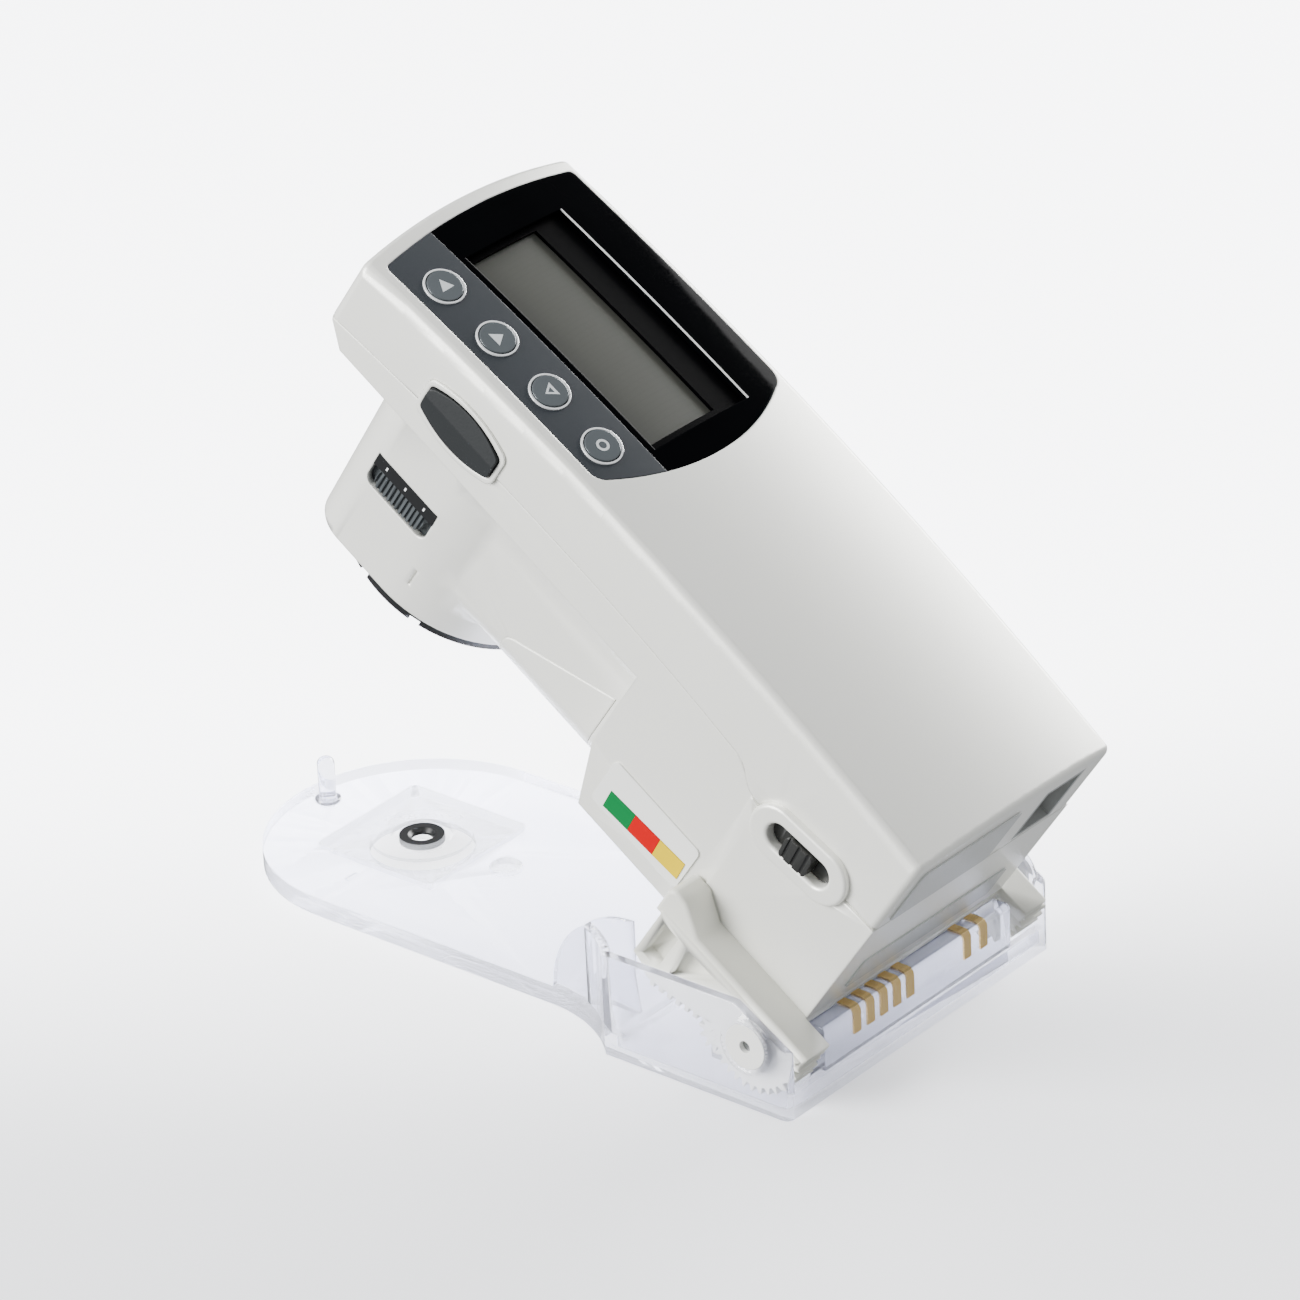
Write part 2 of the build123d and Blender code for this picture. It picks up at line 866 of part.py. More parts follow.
with BuildPart() as locating_peg:
    with BuildSketch(Plane.XY.offset(plate_thick - peg_root)):
        with Locations((window_x - peg_ahead, 0)):
            Circle(peg_radius)
    extrude(amount=peg_root + peg_height)
    fillet(locating_peg.edges().group_by(Axis.Z)[-1], 0.8 * peg_radius)
    with BuildSketch(Plane.XY.offset(plate_thick)):
        with Locations((window_x - peg_ahead, 0)):
            Circle(peg_flange_radius)
    extrude(amount=peg_flange_height)
save(locating_peg, "locating_peg")

with BuildPart() as index_plug:
    with BuildSketch(Plane.XY.offset(plate_thick - plug_depth)):
        with Locations((window_x + plug_behind, 0)):
            Circle(plug_radius)
    extrude(amount=plug_depth)
    chamfer(index_plug.edges().group_by(Axis.Z)[-1], 0.5)
save(index_plug, "index_plug")

# Contact block with a step over the rear wall, and its seven bent strips
block_front_x = rear_x - contact_block_inset - contact_block_depth
block_rear_x = rear_x - contact_block_inset
with BuildPart() as contact_block:
    with BuildSketch(Plane.XZ) as block:
        with BuildLine():
            Polyline(
                (block_front_x, floor_thick),
                (rear_x - base_wall - seat_gap, floor_thick),
                (rear_x - base_wall - seat_gap, rear_wall_height + seat_gap),
                (block_rear_x, rear_wall_height + seat_gap),
                (block_rear_x, contact_block_height),
                (block_front_x, contact_block_height),
                close=True,
            )
        make_face()
        fillet(block.vertices().sort_by_distance((block_rear_x, contact_block_height))[0], strip_bend)
    extrude(amount=contact_block_width / 2, both=True)
save(contact_block, "contact_block")

with BuildPart() as contact_strips:
    for strip_out in strip_near_outs + strip_far_outs:
        with BuildSketch(Plane.XZ.offset(strip_out)) as strip:
            with BuildLine():
                Polyline(
                    (block_rear_x - strip_leg, contact_block_height),
                    (block_rear_x, contact_block_height),
                    (block_rear_x, contact_block_height - strip_drop),
                    (block_rear_x + strip_thick, contact_block_height - strip_drop),
                    (block_rear_x + strip_thick, contact_block_height + strip_thick),
                    (block_rear_x - strip_leg, contact_block_height + strip_thick),
                    close=True,
                )
            make_face()
            fillet(strip.vertices().sort_by(Axis.X)[-2:].sort_by(Axis.Y)[-1], strip_bend + strip_thick)
            fillet(strip.vertices().sort_by_distance((block_rear_x, contact_block_height))[0], strip_bend)
        extrude(amount=strip_width / 2, both=True)
save(contact_strips, "contact_strips")

# Hinge pin and the caps that close its bosses
pin_half = box_half + hub_boss_out - cap_seat
with BuildPart() as hinge_pin:
    with BuildSketch(Plane.XZ.offset(pin_half)):
        with Locations((hinge_x, hinge_height)):
            Circle(pin_radius)
    extrude(amount=-2 * pin_half)
save(hinge_pin, "hinge_pin")

with BuildPart() as hub_caps:
    with BuildSketch(Plane.XZ.offset(box_half + hub_boss_out)):
        with Locations((hinge_x, hinge_height)):
            Circle(hub_cap_radius)
            Circle(hub_cap_hole, mode=Mode.SUBTRACT)
    extrude(amount=-hub_cap_thick)
    mirror(about=Plane.XZ)
save(hub_caps, "hub_caps")

# Yoke: arms, cross plate, pocketed webs, tooth row, gear rings and barrel
gear_tip = gear_module * (gear_teeth / 2 + 0.9)
YOKE_HUB = Plane(origin=hinge - Vector(0, yoke_half, 0), x_dir=ahead, z_dir=(0, 1, 0))
yoke_gear = gear_outline(gear_teeth, 180 - tilt - pinion_bearing)
row_length = sqrt((row_start - row_end) ** 2 + (row_low - row_high) ** 2)
row_step = row_length / row_teeth
row_turn = degrees(asin((row_low - row_high) / row_length))
with BuildPart() as yoke:
    with BuildSketch(flank(arm_outer)):
        with BuildLine():
            Polyline(
                (-arm_tail, -arm_thick),
                (-arm_tail, 0),
                (shoulder_start, 0),
                (arm_front - shoulder_height, shoulder_height),
                (arm_front, shoulder_height),
                (arm_front, -arm_thick),
                close=True,
            )
        make_face()
    extrude(amount=arm_width)
    fillet(yoke.edges().filter_by(Axis.Y).group_by(Axis.Z)[-1], 0.4 * shoulder_height)
    fillet(yoke.faces().sort_by(Axis.Y)[0].edges(), arm_round)
    with BuildSketch(level(0)):
        with Locations((yoke_plate_front / 2, (arm_inner + 1) / 2)):
            Rectangle(yoke_plate_front, arm_inner + 1)
    extrude(amount=-yoke_plate_thick)
    with BuildSketch(flank(yoke_half)):
        with BuildLine():
            Polyline(
                (web_tail, -arm_thick / 2),
                (hinge_along, -hinge_below),
                (row_end, -row_high),
                (row_start, -row_low),
                (web_front, -web_depth),
                (web_front, -arm_thick / 2),
                close=True,
            )
        make_face()
    extrude(amount=web_thick)
    with BuildSketch(flank(yoke_half)):
        for step in range(row_teeth):
            share = (step + 0.5) / row_teeth
            tooth_along = row_end + (row_start - row_end) * share
            tooth_up = -(row_high + (row_low - row_high) * share)
            with Locations((tooth_along, tooth_up)):
                Rectangle(row_step / 2, 2 * row_tooth_height, rotation=-row_turn)
    extrude(amount=web_thick)
    with BuildSketch(flank(yoke_half)):
        with BuildLine():
            Polyline(
                (rib_along + rib_width, -arm_thick),
                (web_front - pocket_wall, -arm_thick),
                (web_front - pocket_wall, pocket_wall - web_depth),
                (rib_along + rib_width, pocket_wall - web_depth),
                close=True,
            )
        make_face()
        with BuildLine():
            Polyline(
                (row_end + pocket_wall, -arm_thick),
                (rib_along, -arm_thick),
                (rib_along, 2 * pocket_wall - row_low),
                close=True,
            )
        make_face()
    extrude(amount=pocket_depth, mode=Mode.SUBTRACT)
    with BuildSketch(YOKE_HUB):
        add(yoke_gear)
        with Locations((0, hinge_below - arm_thick / 2 + gear_tip)):
            Rectangle(3 * gear_tip, 2 * gear_tip, mode=Mode.SUBTRACT)
    extrude(amount=gear_width)
    with BuildSketch(YOKE_HUB):
        Circle(barrel_radius)
    extrude(amount=yoke_half)
    mirror(about=Plane.XZ)
    with BuildSketch(Plane.XZ.offset(yoke_half)):
        with Locations((hinge_x, hinge_height)):
            Circle(pin_radius + running_fit)
    extrude(amount=-2 * yoke_half, mode=Mode.SUBTRACT)
    with BuildSketch(Plane.XZ.offset(spring_cavity_half)):
        with Locations((hinge_x, hinge_height)):
            Circle(spring_cavity_radius)
    extrude(amount=-2 * spring_cavity_half, mode=Mode.SUBTRACT)
save(yoke, "yoke")

with BuildPart() as lift_spring:
    with BuildSketch(Plane.XZ.offset(spring_cavity_half - slide_gap)):
        with Locations((hinge_x, hinge_height)):
            Circle(spring_outer)
            Circle(spring_inner, mode=Mode.SUBTRACT)
    extrude(amount=-2 * (spring_cavity_half - slide_gap))
save(lift_spring, "lift_spring")

# Damper: a pinion in mesh with the near gear ring, running in a cup that stands on the floor
gear_distance = gear_module * (gear_teeth + pinion_teeth) / 2
bearing = radians(pinion_bearing)
pinion_x = hinge_x + gear_distance * cos(bearing)
pinion_z = hinge_height + gear_distance * sin(bearing)
pinion_far = yoke_half - gear_width
pinion_near = yoke_half - web_thick - body_gap
cup_near = pinion_far - body_gap
cup_far = cup_near - damper_depth
pinion_gear = gear_outline(pinion_teeth, pinion_bearing)
with BuildPart() as damper_housing:
    with BuildSketch(Plane.XZ.offset(cup_near)):
        with Locations((pinion_x, pinion_z)):
            Circle(damper_radius)
        with Locations((pinion_x, (pinion_z + floor_thick) / 2)):
            Rectangle(damper_foot, pinion_z - floor_thick)
    extrude(amount=-damper_depth)
    with BuildSketch(Plane.XZ.offset(cup_near)):
        with Locations((pinion_x, pinion_z)):
            Circle(pinion_shaft_radius + running_fit)
    extrude(amount=-damper_depth, mode=Mode.SUBTRACT)
save(damper_housing, "damper_housing")

with BuildPart() as damper_pinion:
    with BuildSketch(Plane(origin=(pinion_x, -pinion_near, pinion_z), x_dir=(1, 0, 0), z_dir=(0, -1, 0))):
        add(pinion_gear)
    extrude(amount=pinion_far - pinion_near)
    with BuildSketch(Plane.XZ.offset(pinion_far)):
        with Locations((pinion_x, pinion_z)):
            Circle(pinion_shaft_radius)
    extrude(amount=cup_far - pinion_far)
save(damper_pinion, "damper_pinion")

# Case halves
case_outer = case_form(0)
case_inner = case_form(case_wall)
over_seam = seam_side(2 * REACH, 0)
under_seam = seam_side(-2 * REACH, -seat_gap)
groove = seam_groove()
lower_outer = lower_form(0)
lower_inner = lower_form(case_wall)
panel_pocket = skin(panel_outline(panel_fit), -key_proud, panel_thick)
panel_opening = panel_outline(-panel_ledge)
frame_hole = button_outline(button_fit + button_frame_width + seat_gap)
bezel_pocket = slot_outline(bezel_length + 2 * seat_gap, bezel_height + 2 * seat_gap)
plate_hole = slot_outline(
    switch_plate_length + 2 * switch_plate_fit, switch_plate_height + 2 * switch_plate_fit
)
port_up, port_height = span(port_low, port_high)
with BuildPart() as upper_case:
    add(case_outer)
    add(case_inner, mode=Mode.SUBTRACT)
    add(over_seam, mode=Mode.INTERSECT)
    add(groove, mode=Mode.SUBTRACT)
    add(panel_pocket, mode=Mode.SUBTRACT)
    with BuildSketch(level(seam_front)):
        add(panel_opening)
    extrude(amount=REACH, mode=Mode.SUBTRACT)
    with BuildSketch(flank(meter_half + bezel_proud)):
        add(frame_hole)
    extrude(amount=3 * case_wall, mode=Mode.SUBTRACT)
    with BuildSketch(flank(meter_half - bezel_depth)):
        add(bezel_pocket)
    extrude(amount=-2 * bezel_depth, mode=Mode.SUBTRACT)
    with BuildSketch(flank(meter_half)):
        add(plate_hole)
    extrude(amount=2 * case_wall, mode=Mode.SUBTRACT)
    with BuildSketch(station(-1)):
        with Locations((port_out, port_up)):
            Rectangle(port_width + 2 * seat_gap, port_height + 2 * seat_gap)
    extrude(amount=2 * case_wall, mode=Mode.SUBTRACT)
save(upper_case, "upper_case")

cover_pocket = cover_form(cover_fit, -1, cover_thick, grip_round)
slider_middle = filter_start + filter_length / 2
slider_length = filter_length + 2 * filter_slider_over
slider_up, slider_height = span(
    filter_low - filter_slider_margin, filter_low + filter_height + filter_slider_margin
)
slider_bay_length = slider_length + 2 * filter_travel + 3 * slide_gap
pad_length = filter_length - 2 * (filter_travel + slide_gap)
pad_up, pad_height = span(filter_low + slide_gap, filter_low + filter_height - filter_band - slide_gap)
glass_seat = head_floor - glass_thick
with BuildPart() as lower_case:
    add(lower_outer)
    add(lower_inner, mode=Mode.SUBTRACT)
    add(under_seam, mode=Mode.INTERSECT)
    for along in post_alongs:
        with BuildSketch(level(case_wall / 2 - (grip_drop if along > tint_back else 0))):
            with Locations((along, post_out), (along, -post_out)):
                Circle(post_radius)
        extrude(amount=board_up - case_wall / 2 + (grip_drop if along > tint_back else 0))
    with BuildSketch(level(case_wall / 2)):
        with Locations(*[(along, out) for along in screw_alongs for out in (screw_out, -screw_out)]):
            Circle(screw_boss)
    extrude(amount=screw_length)
    with BuildSketch(level(0)):
        with Locations(*[(along, out) for along in screw_alongs for out in (screw_out, -screw_out)]):
            Circle(screw_shank + seat_gap)
    extrude(amount=REACH / 2, mode=Mode.SUBTRACT)
    with BuildSketch(level(0)):
        with Locations(*[(along, out) for along in screw_alongs for out in (screw_out, -screw_out)]):
            Circle(screw_radius + seat_gap)
    extrude(amount=screw_sink, mode=Mode.SUBTRACT)
    with BuildSketch(flank(meter_half + bezel_proud)):
        add(frame_hole)
    extrude(amount=4 * case_wall, mode=Mode.SUBTRACT)
    with BuildSketch(flank(meter_half - bezel_depth)):
        add(bezel_pocket)
    extrude(amount=-2 * bezel_depth, mode=Mode.SUBTRACT)
    with BuildSketch(flank(meter_half)):
        add(plate_hole)
    extrude(amount=2 * case_wall, mode=Mode.SUBTRACT)
    with BuildSketch(flank(meter_half)):
        add(filter_outline(0))
    extrude(amount=meter_half - filter_slider_out + filter_slider_thick, mode=Mode.SUBTRACT)
    with BuildSketch(flank(filter_slider_out + slide_gap)):
        with Locations((slider_middle, slider_up)):
            Rectangle(slider_bay_length, slider_height + 2 * slide_gap)
    extrude(amount=filter_slider_thick + 2 * slide_gap, mode=Mode.SUBTRACT)
    with BuildSketch(flank(meter_half)):
        with Locations((scribe_along, (scribe_low + scribe_high) / 2)):
            Rectangle(scribe_width, scribe_high - scribe_low)
    extrude(amount=meter_half - scribe_out, mode=Mode.SUBTRACT)
    with BuildSketch(level(-head_drop)):
        with Locations((head_along, 0)):
            Circle(glass_radius - glass_thick)
    extrude(amount=head_floor, mode=Mode.SUBTRACT)
    with BuildSketch(level(glass_seat - head_drop)):
        with Locations((head_along, 0)):
            Circle(glass_radius + seat_gap)
    extrude(amount=glass_thick, mode=Mode.SUBTRACT)
    add(cover_pocket, mode=Mode.SUBTRACT)
save(lower_case, "lower_case")

battery_cover_form = cover_form(0, 0, cover_thick, grip_round - cover_fit)
with BuildPart() as battery_cover:
    add(battery_cover_form)
save(battery_cover, "battery_cover")

# Display window, frame, panel and keys
window_sheet = skin(panel_side(-meter_half, panel_split - panel_fit, 0), 0, panel_thick)
keypad_sheet = skin(panel_side(panel_split, meter_half, 0), 0, panel_thick)
recess_outline = block_outline(recess_rear, recess_front, -recess_far, recess_near)
with BuildPart() as display_window:
    add(window_sheet)
    with BuildSketch(level(seam_front)):
        add(recess_outline)
    extrude(amount=REACH, mode=Mode.SUBTRACT)
save(display_window, "display_window")

lcd_hole = block_outline(lcd_rear, lcd_front, -lcd_far, lcd_near)
lcd_frame_sheet = skin(
    block_outline(
        recess_rear - lcd_frame_margin,
        recess_front + lcd_frame_margin,
        -recess_far - lcd_frame_margin,
        recess_near + lcd_frame_margin,
    ),
    panel_thick,
    panel_thick + lcd_frame_thick,
)
frame_limit = panel_outline(-panel_ledge - panel_fit)
with BuildPart() as lcd_frame:
    add(lcd_frame_sheet)
    with BuildSketch(level(seam_front)):
        add(frame_limit)
    extrude(amount=REACH, mode=Mode.INTERSECT)
    with BuildSketch(level(seam_front)):
        add(lcd_hole)
    extrude(amount=REACH, mode=Mode.SUBTRACT)
save(lcd_frame, "lcd_frame")

lcd_sheet = skin(
    block_outline(lcd_rear - lcd_margin, lcd_front + lcd_margin, -lcd_far - lcd_margin, lcd_near + lcd_margin),
    panel_thick + lcd_frame_thick,
    panel_thick + lcd_frame_thick + lcd_thick,
)
with BuildPart() as lcd_panel:
    add(lcd_sheet)
save(lcd_panel, "lcd_panel")

with BuildPart() as keypad_panel:
    add(keypad_sheet)
    with BuildSketch(level(seam_front)):
        add(key_outline(key_ring_outer + seat_gap))
    extrude(amount=REACH, mode=Mode.SUBTRACT)
save(keypad_panel, "keypad_panel")

ring_sheet = skin(key_outline(key_ring_outer), -key_ring_proud, panel_thick)
with BuildPart() as key_rings:
    add(ring_sheet)
    with BuildSketch(level(seam_front)):
        add(key_outline(key_ring_inner))
    extrude(amount=REACH, mode=Mode.SUBTRACT)
save(key_rings, "key_rings")

key_last = key_first + 3 * key_pitch
mat_depth = key_depth + key_travel + 2 * slide_gap
mat_sheet = skin(
    block_outline(
        key_first - key_mat_over, key_last + key_mat_over, key_out - key_mat_half, key_out + key_mat_half
    ),
    mat_depth,
    mat_depth + key_mat_thick,
)
with BuildPart() as key_mat:
    add(mat_sheet)
save(key_mat, "key_mat")

enter_form = skin(key_at(0), -key_proud, key_depth)
down_form = skin(key_at(1), -key_proud, key_depth)
up_form = skin(key_at(2), -key_proud, key_depth)
back_form = skin(key_at(3), -key_proud, key_depth)
with BuildPart() as key_enter:
    add(enter_form)
save(key_enter, "key_enter")

with BuildPart() as key_down:
    add(down_form)
save(key_down, "key_down")

with BuildPart() as key_up:
    add(up_form)
save(key_up, "key_up")

with BuildPart() as key_back:
    add(back_form)
save(key_back, "key_back")

# Side button and its frame
with BuildPart() as scan_frame:
    with BuildSketch(flank(meter_half + button_frame_proud)):
        add(button_outline(button_fit + button_frame_width))
        add(button_outline(button_fit), mode=Mode.SUBTRACT)
    extrude(amount=button_frame_proud + button_frame_depth)
save(scan_frame, "scan_frame")

with BuildPart() as scan_button:
    with BuildSketch(flank(meter_half + button_proud)):
        add(button_outline(0))
    extrude(amount=button_depth)
    with BuildSketch(station(button_along - button_length)):
        with BuildLine():
            Polyline(
                (meter_half + button_proud, button_up + button_crest),
                (meter_half + button_edge_proud, button_up + button_middle / 2),
                (meter_half - button_depth, button_up + button_middle / 2),
                (meter_half - button_depth, button_up - button_middle / 2),
                (meter_half + button_edge_proud, button_up - button_middle / 2),
                close=True,
            )
        make_face()
    extrude(amount=2 * button_length, mode=Mode.INTERSECT)
save(scan_button, "scan_button")

# Measure switch: bezel, back plate and sliding thumb
with BuildPart() as measure_bezel:
    with BuildSketch(flank(meter_half + bezel_proud)):
        add(slot_outline(bezel_length, bezel_height))
        add(slot_outline(slot_length, slot_height), mode=Mode.SUBTRACT)
    extrude(amount=bezel_proud + bezel_depth)
    fillet(measure_bezel.edges().group_by(Axis.Y)[0], bezel_proud / 2)
save(measure_bezel, "measure_bezel")

with BuildPart() as measure_plate:
    with BuildSketch(flank(meter_half - bezel_depth)):
        add(slot_outline(switch_plate_length, switch_plate_height))
    extrude(amount=case_wall - bezel_depth)
save(measure_plate, "measure_plate")

with BuildPart() as measure_switch:
    with BuildSketch(flank(meter_half + bezel_proud + thumb_proud)) as thumb:
        with Locations((switch_along, switch_up)):
            Rectangle(thumb_length, thumb_height, rotation=switch_angle)
        fillet(thumb.vertices(), thumb_corner)
    extrude(amount=bezel_proud + thumb_proud + bezel_depth - thumb_gap)
    with BuildSketch(flank(meter_half + bezel_proud + thumb_proud)):
        with Locations((switch_along, switch_up)):
            with GridLocations(thumb_length / 3, 1, 3, 1):
                Rectangle(thumb_groove, 2 * thumb_height, rotation=switch_angle)
    extrude(amount=thumb_groove / 2, mode=Mode.SUBTRACT)
save(measure_switch, "measure_switch")

# Filter window: marked band above, ribbed slider behind
with BuildPart() as filter_index:
    with BuildSketch(flank(filter_index_out)):
        with Locations((slider_middle, filter_low + filter_height - filter_band / 2)):
            Rectangle(filter_length, filter_band)
    extrude(amount=filter_index_thick)
save(filter_index, "filter_index")

with BuildPart() as filter_slider:
    with BuildSketch(flank(filter_slider_out)):
        with Locations((slider_middle, slider_up)):
            Rectangle(slider_length, slider_height)
    extrude(amount=filter_slider_thick)
    with BuildSketch(flank(filter_pad_out)):
        with Locations((slider_middle, pad_up)):
            RectangleRounded(pad_length, pad_height, filter_corner)
    extrude(amount=filter_pad_out - filter_slider_out)
    with BuildSketch(flank(filter_pad_out)):
        with Locations((slider_middle, pad_up)):
            with GridLocations(pad_length / filter_ribs, 1, filter_ribs, 1):
                Rectangle(pad_length / filter_ribs / 2, 2 * pad_height)
    extrude(amount=filter_rib_depth, mode=Mode.SUBTRACT)
save(filter_slider, "filter_slider")

# Head: skirt ring, optics barrel, lamp ring, glass and sensor
skirt_limit = head_outline(skirt_inset)
skirt_radius = head_radius - skirt_inset
with BuildPart() as skirt_ring:
    with BuildSketch(level(-head_drop)):
        with Locations((head_along, 0)):
            Circle(skirt_radius)
        add(skirt_limit, mode=Mode.INTERSECT)
        with Locations((head_along, 0)):
            Circle(skirt_inner, mode=Mode.SUBTRACT)
    extrude(amount=-skirt_height)
    with BuildSketch(level(-head_drop - skirt_height)):
        for notch in skirt_notches:
            notch_turn = radians(notch)
            with Locations((head_along + skirt_radius * cos(notch_turn), skirt_radius * sin(notch_turn))):
                Rectangle(4 * skirt_notch_depth, skirt_notch_width, rotation=notch)
    extrude(amount=skirt_notch_depth, mode=Mode.SUBTRACT)
save(skirt_ring, "skirt_ring")

tube_foot = head_floor - head_drop
tube_inner = barrel_tube_radius - barrel_tube_wall
with BuildPart() as optics_barrel:
    with BuildSketch(level(tube_foot)):
        with Locations((head_along, 0)):
            Circle(barrel_tube_radius)
            Circle(tube_inner - barrel_tube_wall, mode=Mode.SUBTRACT)
    extrude(amount=barrel_tube_height)
    with BuildSketch(level(tube_foot + lamp_rise)):
        with Locations((head_along, 0)):
            Circle(tube_inner)
    extrude(amount=barrel_tube_height, mode=Mode.SUBTRACT)
save(optics_barrel, "optics_barrel")

with BuildPart() as lamp_ring:
    with BuildSketch(level(tube_foot + lamp_rise)):
        with Locations((head_along, 0)):
            Circle(tube_inner - seat_gap)
            Circle(lamp_inner, mode=Mode.SUBTRACT)
    extrude(amount=lamp_thick)
save(lamp_ring, "lamp_ring")

with BuildPart() as aperture_glass:
    with BuildSketch(level(glass_seat - head_drop)):
        with Locations((head_along, 0)):
            Circle(glass_radius)
    extrude(amount=glass_thick)
save(aperture_glass, "aperture_glass")

with BuildPart() as sensor_block:
    with BuildSketch(level(tube_foot + barrel_tube_height)):
        with Locations((head_along, 0)):
            Rectangle(sensor_length, sensor_width)
    extrude(amount=sensor_height)
save(sensor_block, "sensor_block")

# Board and battery
board_middle, board_length = span(board_rear, board_front)
battery_middle, battery_length = span(battery_rear, battery_front)
with BuildPart() as main_board:
    with BuildSketch(level(board_up)):
        with Locations((board_middle, 0)):
            Rectangle(board_length, meter_width - 2 * case_wall - 2 * board_side_gap)
    extrude(amount=board_thick)
save(main_board, "main_board")

with BuildPart() as battery_pack:
    with BuildSketch(level(case_wall - grip_drop)):
        with Locations((battery_middle, 0)):
            Rectangle(battery_length, 2 * battery_half)
    extrude(amount=battery_height)
    fillet(battery_pack.edges().filter_by(Axis(meter_origin, ahead)), 2)
save(battery_pack, "battery_pack")

# Color bars on their plate, bare rating and end plates
tint_face = meter_half - tint_inset
plate_middle, plate_length = span(tint_plate_rear, tint_plate_front)
plate_up, plate_height = span(tint_plate_low, tint_plate_high)
bar_up = tint_bar_low + tint_bar_height / 2
bar_step = tint_bar_length * cos(radians(tint_turn))
bar_rise = tint_bar_length * sin(radians(tint_turn))
bar_first = tint_bar_first + tint_bar_length / 2
bar_size = tint_bar_length - seat_gap
with BuildPart() as tint_plate:
    with BuildSketch(flank(tint_face + plate_skin)):
        with Locations((plate_middle, plate_up)):
            RectangleRounded(plate_length, plate_height, 1.5)
    extrude(amount=plate_skin)
save(tint_plate, "tint_plate")

with BuildPart() as tint_yellow:
    with BuildSketch(flank(tint_face + plate_skin + tint_skin)):
        with Locations((bar_first, bar_up)):
            Rectangle(bar_size, tint_bar_height, rotation=tint_turn)
    extrude(amount=tint_skin)
save(tint_yellow, "tint_yellow")

with BuildPart() as tint_red:
    with BuildSketch(flank(tint_face + plate_skin + tint_skin)):
        with Locations((bar_first + bar_step, bar_up + bar_rise)):
            Rectangle(bar_size, tint_bar_height, rotation=tint_turn)
    extrude(amount=tint_skin)
save(tint_red, "tint_red")

with BuildPart() as tint_green:
    with BuildSketch(flank(tint_face + plate_skin + tint_skin)):
        with Locations((bar_first + 2 * bar_step, bar_up + 2 * bar_rise)):
            Rectangle(bar_size, tint_bar_height, rotation=tint_turn)
    extrude(amount=tint_skin)
save(tint_green, "tint_green")

rating_out, rating_width = span(rating_far, rating_near)
rating_up, rating_height = span(rating_low, rating_high)
with BuildPart() as rating_plate:
    with BuildSketch(station(-plate_skin)):
        with Locations((rating_out, rating_up)):
            RectangleRounded(rating_width, rating_height, 1.5)
    extrude(amount=plate_skin)
save(rating_plate, "rating_plate")

end_up, end_height = span(end_plate_low, end_plate_high)
with BuildPart() as end_plate:
    with BuildSketch(station(-plate_skin)):
        with Locations((0, end_up)):
            RectangleRounded(2 * end_plate_half, end_height, 1)
    extrude(amount=plate_skin)
save(end_plate, "end_plate")

# Cable port
with BuildPart() as port_well:
    with BuildSketch(station(0)):
        with Locations((port_out, port_up)):
            Rectangle(port_width, port_height)
    extrude(amount=port_depth)
    with BuildSketch(station(0)):
        with Locations((port_out, port_up)):
            Rectangle(port_width - 2 * port_wall, port_height - 2 * port_wall)
    extrude(amount=port_depth - port_wall, mode=Mode.SUBTRACT)
save(port_well, "port_well")

with BuildPart() as port_socket:
    with BuildSketch(station(port_depth - port_wall)):
        with Locations((port_out, port_up)):
            Rectangle(socket_width, socket_height)
            Rectangle(socket_width - port_wall, socket_height - port_wall, mode=Mode.SUBTRACT)
    extrude(amount=-socket_depth)
save(port_socket, "port_socket")

# Case screws, heads sunk in the bottom
with BuildPart() as case_screws:
    with BuildSketch(level(0)):
        with Locations(*[(along, out) for along in screw_alongs for out in (screw_out, -screw_out)]):
            Circle(screw_radius)
    extrude(amount=screw_sink)
    with BuildSketch(level(screw_sink)):
        with Locations(*[(along, out) for along in screw_alongs for out in (screw_out, -screw_out)]):
            Circle(screw_shank)
    extrude(amount=screw_length - screw_sink)
save(case_screws, "case_screws")
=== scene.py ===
import json
from math import cos, pi, radians, sin

import bmesh
import bpy
from mathutils import Matrix, Vector
from mathutils.bvhtree import BVHTree


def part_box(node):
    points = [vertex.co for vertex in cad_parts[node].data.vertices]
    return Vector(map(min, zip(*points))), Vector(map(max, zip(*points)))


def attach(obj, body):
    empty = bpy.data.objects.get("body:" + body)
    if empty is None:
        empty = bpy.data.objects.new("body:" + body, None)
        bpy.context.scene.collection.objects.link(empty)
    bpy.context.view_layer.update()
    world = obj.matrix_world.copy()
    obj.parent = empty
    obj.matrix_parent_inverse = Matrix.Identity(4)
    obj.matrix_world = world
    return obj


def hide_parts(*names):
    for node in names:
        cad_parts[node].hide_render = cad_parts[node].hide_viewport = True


bl_info = {
    "name": "Color Meter Dressing",
    "version": (1, 0, 0),
    "blender": (4, 5, 0),
    "location": "View3D > Sidebar > Color Meter",
    "description": "Gives the packed color meter and its clear target base their finishes and stage",
    "category": "Object",
}

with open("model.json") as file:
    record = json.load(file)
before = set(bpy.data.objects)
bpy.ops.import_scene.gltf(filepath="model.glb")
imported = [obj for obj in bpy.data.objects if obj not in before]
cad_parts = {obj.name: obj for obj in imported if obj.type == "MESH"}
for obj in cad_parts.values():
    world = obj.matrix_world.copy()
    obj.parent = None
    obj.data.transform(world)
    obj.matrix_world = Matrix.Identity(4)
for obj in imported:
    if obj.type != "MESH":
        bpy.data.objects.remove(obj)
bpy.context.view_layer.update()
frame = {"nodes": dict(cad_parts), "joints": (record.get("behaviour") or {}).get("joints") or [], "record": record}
body_of_node = {
    node: body
    for body, members in frame["record"]["behaviour"]["bodies"].items()
    for node in members
}
hinge = next(joint for joint in frame["joints"] if joint["name"] == "tilt")

MM = 0.001

